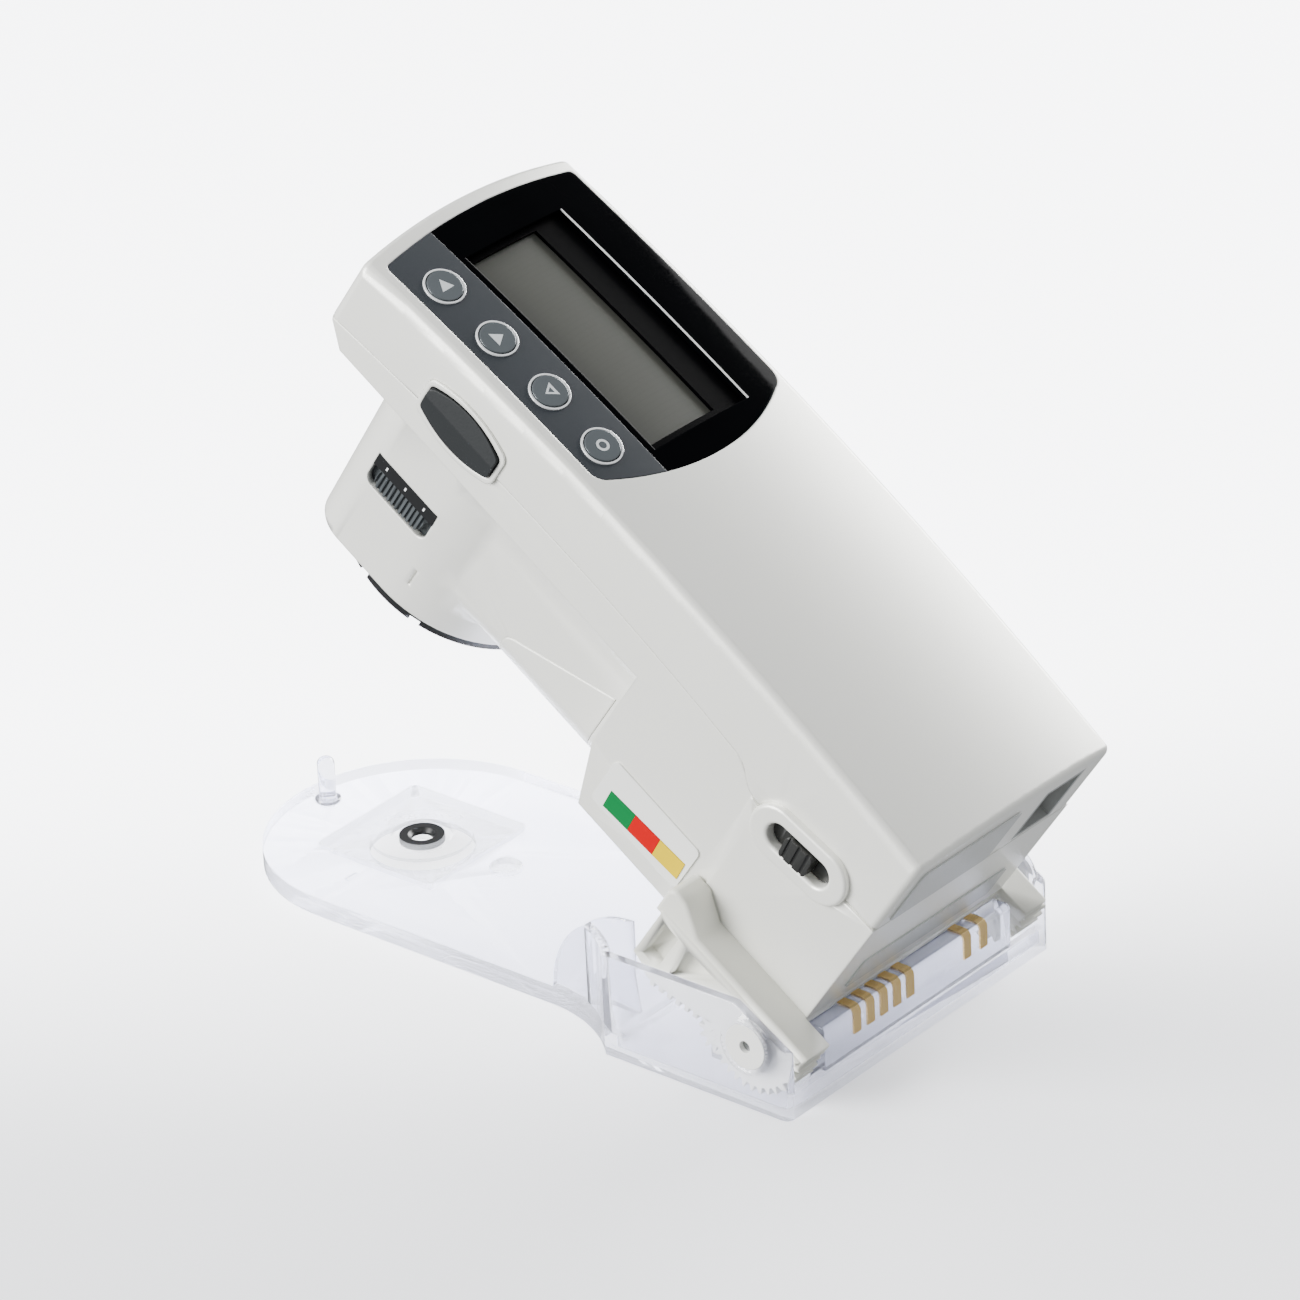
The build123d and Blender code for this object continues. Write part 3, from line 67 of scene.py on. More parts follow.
# The meter rests tilted up by the whole range of its hinge. These are its own axes there.
TILT = radians(hinge["range_deg"][1])
AHEAD = Vector((-cos(TILT), 0.0, sin(TILT)))
ABOVE = Vector((sin(TILT), 0.0, cos(TILT)))
NEAR = Vector((0.0, -1.0, 0.0))

# The case's arched top, in mm: how far ahead of the meter's rear end and below its floor the hinge lies, the
# meter's main sizes, and how much the top rises along the meter and across it.
HINGE_ALONG, HINGE_BELOW = 3.5, 6.5
METER_LENGTH, METER_WIDTH, METER_HEIGHT = 175.8, 68.0, 54.0
ARCH_RISE, CROWN_RISE = 4.0, 2.6
# A face belongs to the top if it faces upwards by this cosine and its corners are this near the arch, in mm.
TOP_FACING, TOP_SLACK = 0.8, 0.1

# Smooth shading: corners nearer than the weld, in mm, become one, and edges sharper than the crease stay
# crisp.
WELD = 0.001
CREASE = radians(28.0)
FACE_WEIGHT = 90

# Print and painted highlight, in mm: how high a ray starts above the surface that it looks for, and how far the
# key marks, the painted highlight on the window's edge and the filter's marks stand clear of what carries them.
RAY_RISE = 20.0
MARK_LIFT, HIGHLIGHT_LIFT, BAR_LIFT = 0.03, 0.02, 0.02
# The painted highlight on the window's edge follows the arch of the top in this many steps.
HIGHLIGHT_STEPS = 24

# The marks on the keys: corners in mm to the right and up as the keys are read, and the share that is left
# open inside.
RING_RADIUS, RING_SIDES = 1.5, 24
RING_TURNS = [2 * pi * side / RING_SIDES for side in range(RING_SIDES)]
KEY_MARKS = {
    "key_back": ([(-1.9, 0.0), (1.1, -1.7), (1.1, 1.7)], 0.02),
    "key_up": ([(0.0, 1.6), (-1.8, -1.2), (1.8, -1.2)], 0.02),
    "key_down": ([(0.0, -1.6), (1.8, 1.2), (-1.8, 1.2)], 0.45),
    "key_enter": ([(RING_RADIUS * cos(turn), RING_RADIUS * sin(turn)) for turn in RING_TURNS], 0.6),
}

# The white bars beside the filter slider, in mm: one for each of its places.
BAR_COUNT, BAR_STEP = 3, 6.0
BAR_SIZE = Vector((0.45, 0.08, 0.9))

# Shader settings that several finishes share. Most of a noise's values lie between its low and its high.
NOISE_LOW, NOISE_HIGH = 0.3, 0.7
BEVEL_SAMPLES = 6
# A Mix node's colour sockets share their names with its other kinds of socket, so they go by number.
MIX_SHARE, MIX_FIRST, MIX_SECOND, MIX_RESULT = 0, 6, 7, 2

DULL = {"Specular IOR Level": 0.2}
SCREEN_INK = dict(grain=0.3, depth=0.002, edge=0.1, rough=(0.5, 0.6), values={"Specular IOR Level": 0.05})

# The plainer finishes. Tones are the two sRGB colours that a surface drifts between. In mm, grain and depth
# are the width and the height of its fine grain, and edge is the radius that its corners catch light with.
# Real grain is mostly finer than this, and is drawn as coarse as it needs to show.
FINISHES = {
    # Acrylic sheet, polished: see-through, with a bright gloss
    "clear_acrylic_pane": dict(
        tones=("F4F6FA", "ECEFF4"),
        grain=6.0,
        depth=0.01,
        edge=0.4,
        rough=(0.05, 0.1),
        values={"Alpha": 0.3, "Coat Weight": 1.0, "Coat Roughness": 0.04},
    ),
    # Nylon, moulded black: a low, even sheen
    "moulded_black_nylon": dict(
        tones=("040405", "090A0B"), grain=0.6, depth=0.01, edge=0.3, rough=(0.3, 0.42)
    ),
    # Acetal, moulded white: clean and slightly waxy
    "moulded_white_acetal": dict(tones=("ECECE8", "E2E2DE"), grain=0.7, depth=0.01, edge=0.3),
    # Steel, ground: grey metal with a soft shine
    "ground_steel": dict(
        tones=("9A9C9E", "B4B6B8"),
        grain=0.3,
        depth=0.004,
        edge=0.1,
        rough=(0.22, 0.32),
        values={"Metallic": 1.0},
    ),
    # Nylon, moulded grey: plain and satin
    "moulded_grey_nylon": dict(tones=("8E9092", "7F8184"), grain=0.6, depth=0.01, edge=0.3),
    # Acrylic, hard-coated over black: deep and glassy, with a low index so that reflections stay dark
    "hard_coated_black_acrylic": dict(
        tones=("020203", "050607"),
        grain=0.9,
        depth=0.0005,
        edge=0.3,
        rough=(0.04, 0.07),
        values={"IOR": 1.06},
    ),
    # ABS, moulded black: dull, so that the LCD's frame stays dark under the window
    "moulded_black_abs": dict(
        tones=("020203", "050506"), grain=0.5, depth=0.01, edge=0.2, values={"IOR": 1.06}
    ),
    # Polyester film, printed slate on its back: an even dark blue-grey
    "printed_slate_film": dict(
        tones=("1F2429", "262B30"), grain=0.4, depth=0.004, edge=0.2, values={"Specular IOR Level": 0.3}
    ),
    # Painted highlight: a pale strip for the light that the window's cut and polished acrylic edge catches
    "painted_window_edge_highlight": dict(tones=("DADCDA", "CED0CE"), grain=0.3, depth=0.001, edge=0.1),
    # Silver lacquer under a thin clear coat: a metallic grey dome with a clean highlight
    "satin_silver_lacquer": dict(
        tones=("4A5053", "565C5F"),
        grain=0.3,
        depth=0.004,
        edge=0.4,
        rough=(0.16, 0.22),
        values={"Metallic": 0.35, "Coat Weight": 0.5, "Coat Roughness": 0.08},
    ),
    # Plated ABS trim: a thin bright ring round each key
    "bright_trim": dict(
        tones=("F0F2F3", "F7F8F8"),
        grain=0.4,
        depth=0.002,
        edge=0.2,
        rough=(0.2, 0.28),
        values={"Metallic": 0.4},
    ),
    # Pad-printed ink: pale and flat
    "pale_key_print": dict(tones=("C9CDCE", "BFC4C5"), grain=0.3, depth=0.001, edge=0.1),
    # Elastomer, moulded charcoal: dull, with a grain that the thumb would feel
    "charcoal_elastomer": dict(tones=("1A1C1D", "212324"), grain=0.5, depth=0.02, edge=0.4, values=DULL),
    # ABS, moulded near black: satin
    "moulded_dark_abs": dict(
        tones=("141513", "1C1D1B"), grain=0.5, depth=0.01, edge=0.3, rough=(0.35, 0.45)
    ),
    # ABS, moulded slate: a dull mid grey whose ribs show by their shade
    "moulded_slate_abs": dict(tones=("3A3E40", "44484A"), grain=0.5, depth=0.01, edge=0.2, values=DULL),
    # Polyester film, printed black: flat and dull
    "printed_black_film": dict(tones=("0C0D0E", "141516"), grain=0.4, depth=0.003, edge=0.2, values=DULL),
    # Screen ink, white: flat
    "white_index_print": dict(tones=("E6E8E8", "DADCDC"), grain=0.3, depth=0.001, edge=0.1),
    # Vinyl label film, satin white
    "satin_label_film": dict(
        tones=("E4E5E0", "DCDDD8"), grain=0.4, depth=0.002, edge=0.1, rough=(0.3, 0.4)
    ),
    # Polyester label film, silvered: a soft metallic grey
    "silver_label_film": dict(
        tones=("C4C6C4", "B6B8B6"),
        grain=0.3,
        depth=0.002,
        edge=0.1,
        rough=(0.3, 0.42),
        values={"Metallic": 0.3},
    ),
    # Screen inks, printed thick: full colours with hardly any shine
    "screen_ink_green": dict(tones=("006A36", "006030"), **SCREEN_INK),
    "screen_ink_red": dict(tones=("B00008", "A60006"), **SCREEN_INK),
    "screen_ink_yellow": dict(tones=("CCB000", "C4A800"), **SCREEN_INK),
    # Aluminium, anodised black: dark and matt
    "anodised_black": dict(tones=("121315", "1B1C1E"), grain=0.4, depth=0.006, edge=0.2),
    # ABS, moulded light grey: plain and satin
    "moulded_grey_abs": dict(tones=("A7A9A6", "9A9C99"), grain=0.5, depth=0.01, edge=0.2),
    # Ceramic, fired white: a warm matt white
    "white_ceramic": dict(tones=("EDEBE2", "E2E0D6"), grain=0.4, depth=0.006, edge=0.2),
    # PVC sleeve, shrunk on: blue, with a slight ripple
    "shrink_wrapped_cell": dict(tones=("2F5E9A", "28538A"), grain=0.8, depth=0.02, edge=0.3),
    # Silicone, moulded grey: soft and dull
    "silicone_mat": dict(tones=("6E7072", "636567"), grain=0.5, depth=0.01, edge=0.2),
    # Steel, zinc plated: a cool bright metal
    "zinc_plated_steel": dict(
        tones=("A9ABAD", "98999B"),
        grain=0.3,
        depth=0.004,
        edge=0.1,
        rough=(0.25, 0.38),
        values={"Metallic": 1.0},
    ),
}


def linear(code):
    """Turn an sRGB hex colour into the linear values that shaders read."""
    parts = [int(code[place : place + 2], 16) / 255 for place in (0, 2, 4)]
    return tuple(part / 12.92 if part <= 0.04045 else ((part + 0.055) / 1.055) ** 2.4 for part in parts)


def add(tree, kind, settings=None, values=None, links=None):
    """Add one node, give it its settings and values, and link other nodes' outputs into it."""
    node = tree.nodes.new(kind)
    for name, value in (settings or {}).items():
        setattr(node, name, value)
    for name, value in (values or {}).items():
        node.inputs[name].default_value = value
    for name, source in (links or {}).items():
        tree.links.new(source, node.inputs[name])
    return node


def start_finish(name, values):
    """Begin a material: its shader with the values that are the same all over, and its place on the piece."""
    finish = bpy.data.materials.new(name)
    finish.use_nodes = True
    tree = finish.node_tree
    shader = tree.nodes["Principled BSDF"]
    for socket, value in values.items():
        shader.inputs[socket].default_value = value
    place = add(tree, "ShaderNodeTexCoord").outputs["Object"]
    return finish, tree, shader, place


def moulded(name, tones, grain, depth, edge, patch=18.0, rough=(0.4, 0.5), values=None):
    """A moulded or painted surface: tone drifting over patches, fine grain, soft edges. Sizes in mm."""
    finish, tree, shader, place = start_finish(name, values or {})
    drift = add(
        tree,
        "ShaderNodeTexNoise",
        values={"Scale": 1 / (patch * MM), "Detail": 4.0, "Roughness": 0.55},
        links={"Vector": place},
    )
    speck = add(
        tree,
        "ShaderNodeTexNoise",
        values={"Scale": 1 / (grain * MM), "Detail": 2.0},
        links={"Vector": place},
    )
    tone = add(
        tree,
        "ShaderNodeMix",
        settings={"data_type": "RGBA"},
        values={MIX_FIRST: (*tones[0], 1.0), MIX_SECOND: (*tones[1], 1.0)},
        links={MIX_SHARE: drift.outputs["Fac"]},
    )
    gloss = add(
        tree,
        "ShaderNodeMapRange",
        values={"From Min": NOISE_LOW, "From Max": NOISE_HIGH, "To Min": rough[0], "To Max": rough[1]},
        links={"Value": speck.outputs["Fac"]},
    )
    soft = add(
        tree,
        "ShaderNodeBevel",
        settings={"samples": BEVEL_SAMPLES},
        values={"Radius": edge * MM},
    )
    bump = add(
        tree,
        "ShaderNodeBump",
        values={"Strength": 1.0, "Distance": depth * MM},
        links={"Height": speck.outputs["Fac"], "Normal": soft.outputs["Normal"]},
    )
    tree.links.new(tone.outputs[MIX_RESULT], shader.inputs["Base Color"])
    tree.links.new(gloss.outputs["Result"], shader.inputs["Roughness"])
    tree.links.new(bump.outputs["Normal"], shader.inputs["Normal"])
    return finish


def finish_named(name):
    """Make one of the plainer finishes."""
    row = dict(FINISHES[name])
    row["tones"] = [linear(code) for code in row["tones"]]
    return moulded(name, **row)


def pearl_paint():
    """Pearl lacquer on moulded ABS: warm white, a faint flake sparkle and a satin clear coat."""
    look = bpy.context.scene.meter_finishes
    return moulded(
        "pearl_lacquer_on_abs",
        (look.case_light, look.case_dark),
        grain=look.grain,
        depth=0.012,
        edge=look.edge,
        patch=40.0,
        rough=(0.34, 0.44),
        values={"Metallic": 0.3, "Coat Weight": 0.6, "Coat Roughness": 0.28},
    )


def acetal():
    """Natural acetal: ivory, slightly waxy, satin from the mould."""
    look = bpy.context.scene.meter_finishes
    return moulded(
        "moulded_acetal_ivory",
        (look.yoke_light, look.yoke_dark),
        grain=0.8,
        depth=0.015,
        edge=0.4,
        rough=(0.38, 0.48),
    )


def clear_plastic(name, tint, clarity):
    """Clear moulded polycarbonate: bright edges, a faint cold cast and slow waves in the wall."""
    finish, tree, shader, place = start_finish(
        name,
        {
            "Base Color": (*tint, 1.0),
            "Transmission Weight": clarity,
            # Below the real index of 1.58, so that the walls don't hide what lies behind them
            "IOR": 1.2,
            "Coat Weight": 1.0,
            "Coat Roughness": 0.03,
        },
    )
    wave = add(
        tree,
        "ShaderNodeTexNoise",
        values={"Scale": 1 / (22 * MM), "Detail": 1.0},
        links={"Vector": place},
    )
    haze = add(
        tree,
        "ShaderNodeMapRange",
        values={"From Min": NOISE_LOW, "From Max": NOISE_HIGH, "To Min": 0.0, "To Max": 0.04},
        links={"Value": wave.outputs["Fac"]},
    )
    soft = add(
        tree,
        "ShaderNodeBevel",
        settings={"samples": BEVEL_SAMPLES},
        values={"Radius": 0.5 * MM},
    )
    bump = add(
        tree,
        "ShaderNodeBump",
        values={"Strength": 1.0, "Distance": 0.12 * MM},
        links={"Height": wave.outputs["Fac"], "Normal": soft.outputs["Normal"]},
    )
    tree.links.new(haze.outputs["Result"], shader.inputs["Roughness"])
    tree.links.new(bump.outputs["Normal"], shader.inputs["Normal"])
    return finish


def gold_plating():
    """Gold flash on spring bronze: warm metal with rolling lines, drawn coarser than real ones to show."""
    finish, tree, shader, place = start_finish("gold_plated_bronze", {"Metallic": 1.0})
    line_length, line_width = 3 * MM, 0.12 * MM
    turn = add(
        tree,
        "ShaderNodeMapping",
        values={"Scale": (1 / line_length, 1 / line_width, 1 / line_length)},
        links={"Vector": place},
    )
    lines = add(
        tree,
        "ShaderNodeTexNoise",
        values={"Scale": 1.0, "Detail": 2.0},
        links={"Vector": turn.outputs["Vector"]},
    )
    tone = add(
        tree,
        "ShaderNodeMix",
        settings={"data_type": "RGBA"},
        values={MIX_FIRST: (*linear("D2AE6C"), 1.0), MIX_SECOND: (*linear("ECD096"), 1.0)},
        links={MIX_SHARE: lines.outputs["Fac"]},
    )
    gloss = add(
        tree,
        "ShaderNodeMapRange",
        values={"To Min": 0.14, "To Max": 0.24},
        links={"Value": lines.outputs["Fac"]},
    )
    tree.links.new(tone.outputs[MIX_RESULT], shader.inputs["Base Color"])
    tree.links.new(gloss.outputs["Result"], shader.inputs["Roughness"])
    return finish


def lcd_cell():
    """Reflective LCD at rest: olive grey, a painted reflection lighter towards the rear, dots drawn coarse to
    show.
    """
    finish, tree, shader, place = start_finish(
        "reflective_lcd_cell", {"Roughness": 0.5, "Specular IOR Level": 0.15}
    )
    dot, gap = 0.55 * MM, 0.05 * MM
    flat = add(
        tree,
        "ShaderNodeMapping",
        settings={"vector_type": "POINT"},
        values={"Rotation": (0.0, TILT, 0.0)},
        links={"Vector": place},
    )
    axes = add(tree, "ShaderNodeSeparateXYZ", links={"Vector": flat.outputs["Vector"]})
    low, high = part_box("lcd_panel")
    along = [Vector((x, 0, z)).dot(AHEAD) for x in (low[0], high[0]) for z in (low[2], high[2])]
    # Painted reflection: the LCD's colour lightens from its front to its rear, standing in for the window's
    # reflection
    painted_reflection_fade = add(
        tree,
        "ShaderNodeMapRange",
        values={"From Min": -max(along), "From Max": -min(along), "To Min": 0.0, "To Max": 1.0},
        links={"Value": axes.outputs["X"]},
    )
    tone = add(
        tree,
        "ShaderNodeMix",
        settings={"data_type": "RGBA"},
        values={MIX_FIRST: (*linear("2E2F2B"), 1.0), MIX_SECOND: (*linear("3D3E38"), 1.0)},
        links={MIX_SHARE: painted_reflection_fade.outputs["Result"]},
    )
    dots = add(
        tree,
        "ShaderNodeTexBrick",
        settings={"offset": 0.0},
        values={
            "Scale": 1.0,
            "Color1": (1.0, 1.0, 1.0, 1.0),
            "Color2": (0.99, 0.99, 0.99, 1.0),
            "Mortar": (0.96, 0.96, 0.96, 1.0),
            "Mortar Size": gap,
            "Brick Width": dot,
            "Row Height": dot,
        },
        links={"Vector": flat.outputs["Vector"]},
    )
    grid = add(
        tree,
        "ShaderNodeMix",
        settings={"data_type": "RGBA", "blend_type": "MULTIPLY"},
        values={MIX_SHARE: 1.0},
        links={MIX_FIRST: tone.outputs[MIX_RESULT], MIX_SECOND: dots.outputs["Color"]},
    )
    tree.links.new(grid.outputs[MIX_RESULT], shader.inputs["Base Color"])
    return finish


def circuit_board():
    """Glass-epoxy board: green solder mask with paler copper runs under it."""
    finish, tree, shader, place = start_finish("glass_epoxy_board", {"Roughness": 0.35})
    runs = add(
        tree,
        "ShaderNodeTexVoronoi",
        settings={"feature": "DISTANCE_TO_EDGE", "distance": "EUCLIDEAN"},
        values={"Scale": 1 / (6 * MM)},
        links={"Vector": place},
    )
    copper = add(
        tree,
        "ShaderNodeMapRange",
        values={"From Min": 0.03, "From Max": 0.05},
        links={"Value": runs.outputs["Distance"]},
    )
    tone = add(
        tree,
        "ShaderNodeMix",
        settings={"data_type": "RGBA"},
        values={MIX_FIRST: (*linear("3E7A4A"), 1.0), MIX_SECOND: (*linear("1E5230"), 1.0)},
        links={MIX_SHARE: copper.outputs["Result"]},
    )
    tree.links.new(tone.outputs[MIX_RESULT], shader.inputs["Base Color"])
    return finish


def optical_glass():
    """Optical glass, ground and polished: clear, with a breath of dust."""
    finish, tree, shader, place = start_finish(
        "optical_glass", {"Base Color": (*linear("F3F9F9"), 1.0), "Transmission Weight": 1.0, "IOR": 1.52}
    )
    dust = add(tree, "ShaderNodeTexNoise", values={"Scale": 1 / (2 * MM)}, links={"Vector": place})
    haze = add(
        tree,
        "ShaderNodeMapRange",
        values={"To Min": 0.0, "To Max": 0.05},
        links={"Value": dust.outputs["Fac"]},
    )
    tree.links.new(haze.outputs["Result"], shader.inputs["Roughness"])
    return finish


def even_top(piece):
    """Give the case's arched top its true normals, which its long facets only come near to."""
    origin = Vector(hinge["pos_m"]) / MM - AHEAD * HINGE_ALONG + ABOVE * HINGE_BELOW
    half_length, half_width = METER_LENGTH / 2, METER_WIDTH / 2
    arch = (half_length**2 + ARCH_RISE**2) / (2 * ARCH_RISE)
    crown = (half_width**2 + CROWN_RISE**2) / (2 * CROWN_RISE)
    axis = origin + AHEAD * half_length + ABOVE * (METER_HEIGHT + ARCH_RISE - arch)
    reach = arch + CROWN_RISE - crown
    spokes = []
    for vertex in piece.data.vertices:
        spot = vertex.co / MM - axis
        across = Vector((spot.x, 0.0, spot.z)).normalized()
        spokes.append(spot - across * reach)
    eased = piece.evaluated_get(bpy.context.evaluated_depsgraph_get()).data
    normals = [corner.vector.copy() for corner in eased.corner_normals]
    for face in piece.data.polygons:
        corners = [spokes[place] for place in face.vertices]
        on_arch = all(abs(spoke.length - crown) < TOP_SLACK for spoke in corners)
        if on_arch and face.normal.dot(ABOVE) > TOP_FACING:
            for corner, spoke in zip(face.loop_indices, corners):
                normals[corner] = spoke.normalized()
    piece.modifiers.clear()
    piece.data.normals_split_custom_set(normals)


def skin(name, finish):
    """Stand a smooth-shaded copy in for one CAD node, with crisp edges kept where faces meet sharply."""
    mesh = bpy.data.meshes.new(f"{name}_skin")
    shell = bmesh.new()
    shell.from_mesh(frame["nodes"][name].data)
    bmesh.ops.remove_doubles(shell, verts=shell.verts, dist=WELD * MM)
    for face in shell.faces:
        face.smooth = True
    shell.to_mesh(mesh)
    shell.free()
    mesh.set_sharp_from_angle(angle=CREASE)
    mesh.materials.clear()
    mesh.materials.append(finish)
    piece = bpy.data.objects.new(f"{name}_skin", mesh)
    bpy.context.scene.collection.objects.link(piece)
    weigh = piece.modifiers.new("even_normals", "WEIGHTED_NORMAL")
    weigh.keep_sharp = True
    weigh.weight = FACE_WEIGHT
    if name == "upper_case":
        even_top(piece)
    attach(piece, body_of_node[name])
    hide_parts(name)
    return piece


def cover(names, finish):
    """Give CAD nodes that keep their own mesh one finish."""
    for name in names:
        node = frame["nodes"][name]
        node.data.materials.clear()
        node.data.materials.append(finish)


def new_piece(name, shell, finish, body):
    """Turn a finished bmesh into a piece that rides on a body."""
    mesh = bpy.data.meshes.new(name)
    bmesh.ops.recalc_face_normals(shell, faces=shell.faces)
    shell.to_mesh(mesh)
    shell.free()
    mesh.materials.append(finish)
    piece = bpy.data.objects.new(name, mesh)
    bpy.context.scene.collection.objects.link(piece)
    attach(piece, body)
    return piece


def surface_under(name):
    """A CAD node's faces, ready to be met by a ray."""
    mesh = frame["nodes"][name].data
    spots = [vertex.co for vertex in mesh.vertices]
    return BVHTree.FromPolygons(spots, [face.vertices[:] for face in mesh.polygons])


def middle_of(name):
    """The middle of a CAD node's box."""
    low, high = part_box(name)
    return (Vector(low) + Vector(high)) / 2


def key_mark(name, corners, hole, finish):
    """Lay a thin printed mark on the middle of a key's dome. Corners are in mm, as the keys are read."""
    faces = surface_under(name)
    start = middle_of(name) + ABOVE * RAY_RISE * MM
    shell = bmesh.new()
    rings = []
    for share in (1.0, hole):
        ring = []
        for right, up in corners:
            spot = start + (AHEAD * -right - NEAR * up) * share * MM
            met = faces.ray_cast(spot, -ABOVE)[0]
            ring.append(shell.verts.new(met + ABOVE * MARK_LIFT * MM))
        rings.append(ring)
    count = len(corners)
    for place in range(count):
        beside = (place + 1) % count
        shell.faces.new((rings[0][place], rings[0][beside], rings[1][beside], rings[1][place]))
    mark = new_piece(f"{name}_mark", shell, finish, body_of_node[name])


def window_edge(finish):
    """Follow the far side of the display's opening with a strip of painted highlight, over the top and down the
    wall.
    """
    look = bpy.context.scene.meter_finishes
    lap, width, drop = look.frame_lap * MM, look.edge_width * MM, look.highlight_strip_drop * MM
    spots = [vertex.co for vertex in frame["nodes"]["lcd_frame"].data.vertices]
    far = max(spot.y for spot in spots) - lap
    alongs = [spot.dot(AHEAD) for spot in spots]
    first, last = min(alongs) + lap, max(alongs) - lap
    level = ABOVE * (max(spot.dot(ABOVE) for spot in spots) + RAY_RISE * MM)
    faces = surface_under("display_window")
    shell = bmesh.new()
    rows = []
    for step in range(HIGHLIGHT_STEPS + 1):
        over = AHEAD * (first + (last - first) * step / HIGHLIGHT_STEPS) + level - NEAR * (far + width)
        back = faces.ray_cast(over, -ABOVE)[0] + ABOVE * HIGHLIGHT_LIFT * MM
        brow = back + NEAR * (width + HIGHLIGHT_LIFT * MM)
        rows.append([shell.verts.new(spot) for spot in (back, brow, brow - ABOVE * drop)])
    for row, beside in zip(rows, rows[1:]):
        for place in (0, 1):
            shell.faces.new((row[place], row[place + 1], beside[place + 1], beside[place]))
    # A pale strip of painted highlight that rides with the display window
    edge = new_piece("display_window_painted_highlight", shell, finish, body_of_node["display_window"])


def bar_row(finish):
    """A node tree that lays a row of small bars: how many, how far apart and how large."""
    tree = bpy.data.node_groups.new("bar_row", "GeometryNodeTree")
    tree.interface.new_socket("Geometry", in_out="OUTPUT", socket_type="NodeSocketGeometry")
    for label, kind in (
        ("Count", "NodeSocketInt"),
        ("First", "NodeSocketVector"),
        ("Step", "NodeSocketVector"),
        ("Size", "NodeSocketVector"),
        ("Turn", "NodeSocketVector"),
    ):
        tree.interface.new_socket(label, in_out="INPUT", socket_type=kind)
    given = add(tree, "NodeGroupInput")
    line = add(
        tree,
        "GeometryNodeMeshLine",
        links={
            "Count": given.outputs["Count"],
            "Start Location": given.outputs["First"],
            "Offset": given.outputs["Step"],
        },
    )
    bar = add(tree, "GeometryNodeMeshCube", links={"Size": given.outputs["Size"]})
    turned = add(
        tree,
        "GeometryNodeTransform",
        links={"Geometry": bar.outputs["Mesh"], "Rotation": given.outputs["Turn"]},
    )
    row = add(
        tree,
        "GeometryNodeInstanceOnPoints",
        links={"Points": line.outputs["Mesh"], "Instance": turned.outputs["Geometry"]},
    )
    solid = add(tree, "GeometryNodeRealizeInstances", links={"Geometry": row.outputs["Instances"]})
    painted = add(
        tree,
        "GeometryNodeSetMaterial",
        values={"Material": finish},
        links={"Geometry": solid.outputs["Geometry"]},
    )
    add(tree, "NodeGroupOutput", links={"Geometry": painted.outputs["Geometry"]})
    return tree


def grow_row(name, tree, sizes, body):
    """Run the row's node tree once and keep its result as a plain mesh piece."""
    seed = bpy.data.objects.new(f"{name}_seed", bpy.data.meshes.new(f"{name}_seed"))
    bpy.context.scene.collection.objects.link(seed)
    grow = seed.modifiers.new("row", "NODES")
    grow.node_group = tree
    for item in tree.interface.items_tree:
        if item.in_out == "INPUT":
            grow[item.identifier] = sizes[item.name]
    depsgraph = bpy.context.evaluated_depsgraph_get()
    mesh = bpy.data.meshes.new_from_object(seed.evaluated_get(depsgraph))
    mesh.name = name
    seed.modifiers.remove(grow)
    bpy.data.objects.remove(seed)
    piece = bpy.data.objects.new(name, mesh)
    bpy.context.scene.collection.objects.link(piece)
    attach(piece, body)
    return piece


class MeterFinishes(bpy.types.PropertyGroup):
    """Colours and surface sizes of the meter and its base."""

    case_light: bpy.props.FloatVectorProperty(
        name="Case light tone",
        description="Lighter tone of the pearl lacquer on both case halves",
        subtype="COLOR",
        default=linear("EDEDE6"),
        min=0.0,
        max=1.0,
    )
    case_dark: bpy.props.FloatVectorProperty(
        name="Case dark tone",
        description="Darker tone that the lacquer drifts to",
        subtype="COLOR",
        default=linear("E6E6DE"),
        min=0.0,
        max=1.0,
    )
    yoke_light: bpy.props.FloatVectorProperty(
        name="Yoke light tone",
        description="Lighter tone of the moulded yoke and gears",
        subtype="COLOR",
        default=linear("D8D8CE"),
        min=0.0,
        max=1.0,
    )
    yoke_dark: bpy.props.FloatVectorProperty(
        name="Yoke dark tone",
        description="Darker tone of the moulded yoke and gears",
        subtype="COLOR",
        default=linear("CECEC4"),
        min=0.0,
        max=1.0,
    )
    clear_tint: bpy.props.FloatVectorProperty(
        name="Clear base tint",
        description="Cast of the clear base plastic",
        subtype="COLOR",
        default=linear("E6E7F1"),
        min=0.0,
        max=1.0,
    )
    block_tint: bpy.props.FloatVectorProperty(
        name="Contact block tint",
        description="Cast of the thick block that carries the contacts",
        subtype="COLOR",
        default=linear("C6C8D4"),
        min=0.0,
        max=1.0,
    )
    grain: bpy.props.FloatProperty(
        name="Case grain",
        description="Width of the lacquer's fine grain in millimetres",
        default=0.5,
        min=0.1,
        max=3.0,
    )
    edge: bpy.props.FloatProperty(
        name="Edge softness",
        description="Radius that the case's edges catch light with, in millimetres",
        default=0.7,
        min=0.0,
        max=2.0,
    )
    frame_lap: bpy.props.FloatProperty(
        name="LCD frame lap",
        description="How far the LCD's frame reaches under the display window, in millimetres",
        default=2.0,
        min=0.0,
        max=5.0,
    )
    # The window's edge is drawn as a pale strip of painted highlight; these give its size
    edge_width: bpy.props.FloatProperty(
        name="Window edge width",
        description="Width of the painted highlight strip on top of the display window, in millimetres",
        default=0.2,
        min=0.05,
        max=1.0,
    )
    highlight_strip_drop: bpy.props.FloatProperty(
        name="Window edge drop",
        description="How far the painted highlight strip goes down the opening's wall, in millimetres",
        default=0.35,
        min=0.05,
        max=1.0,
    )


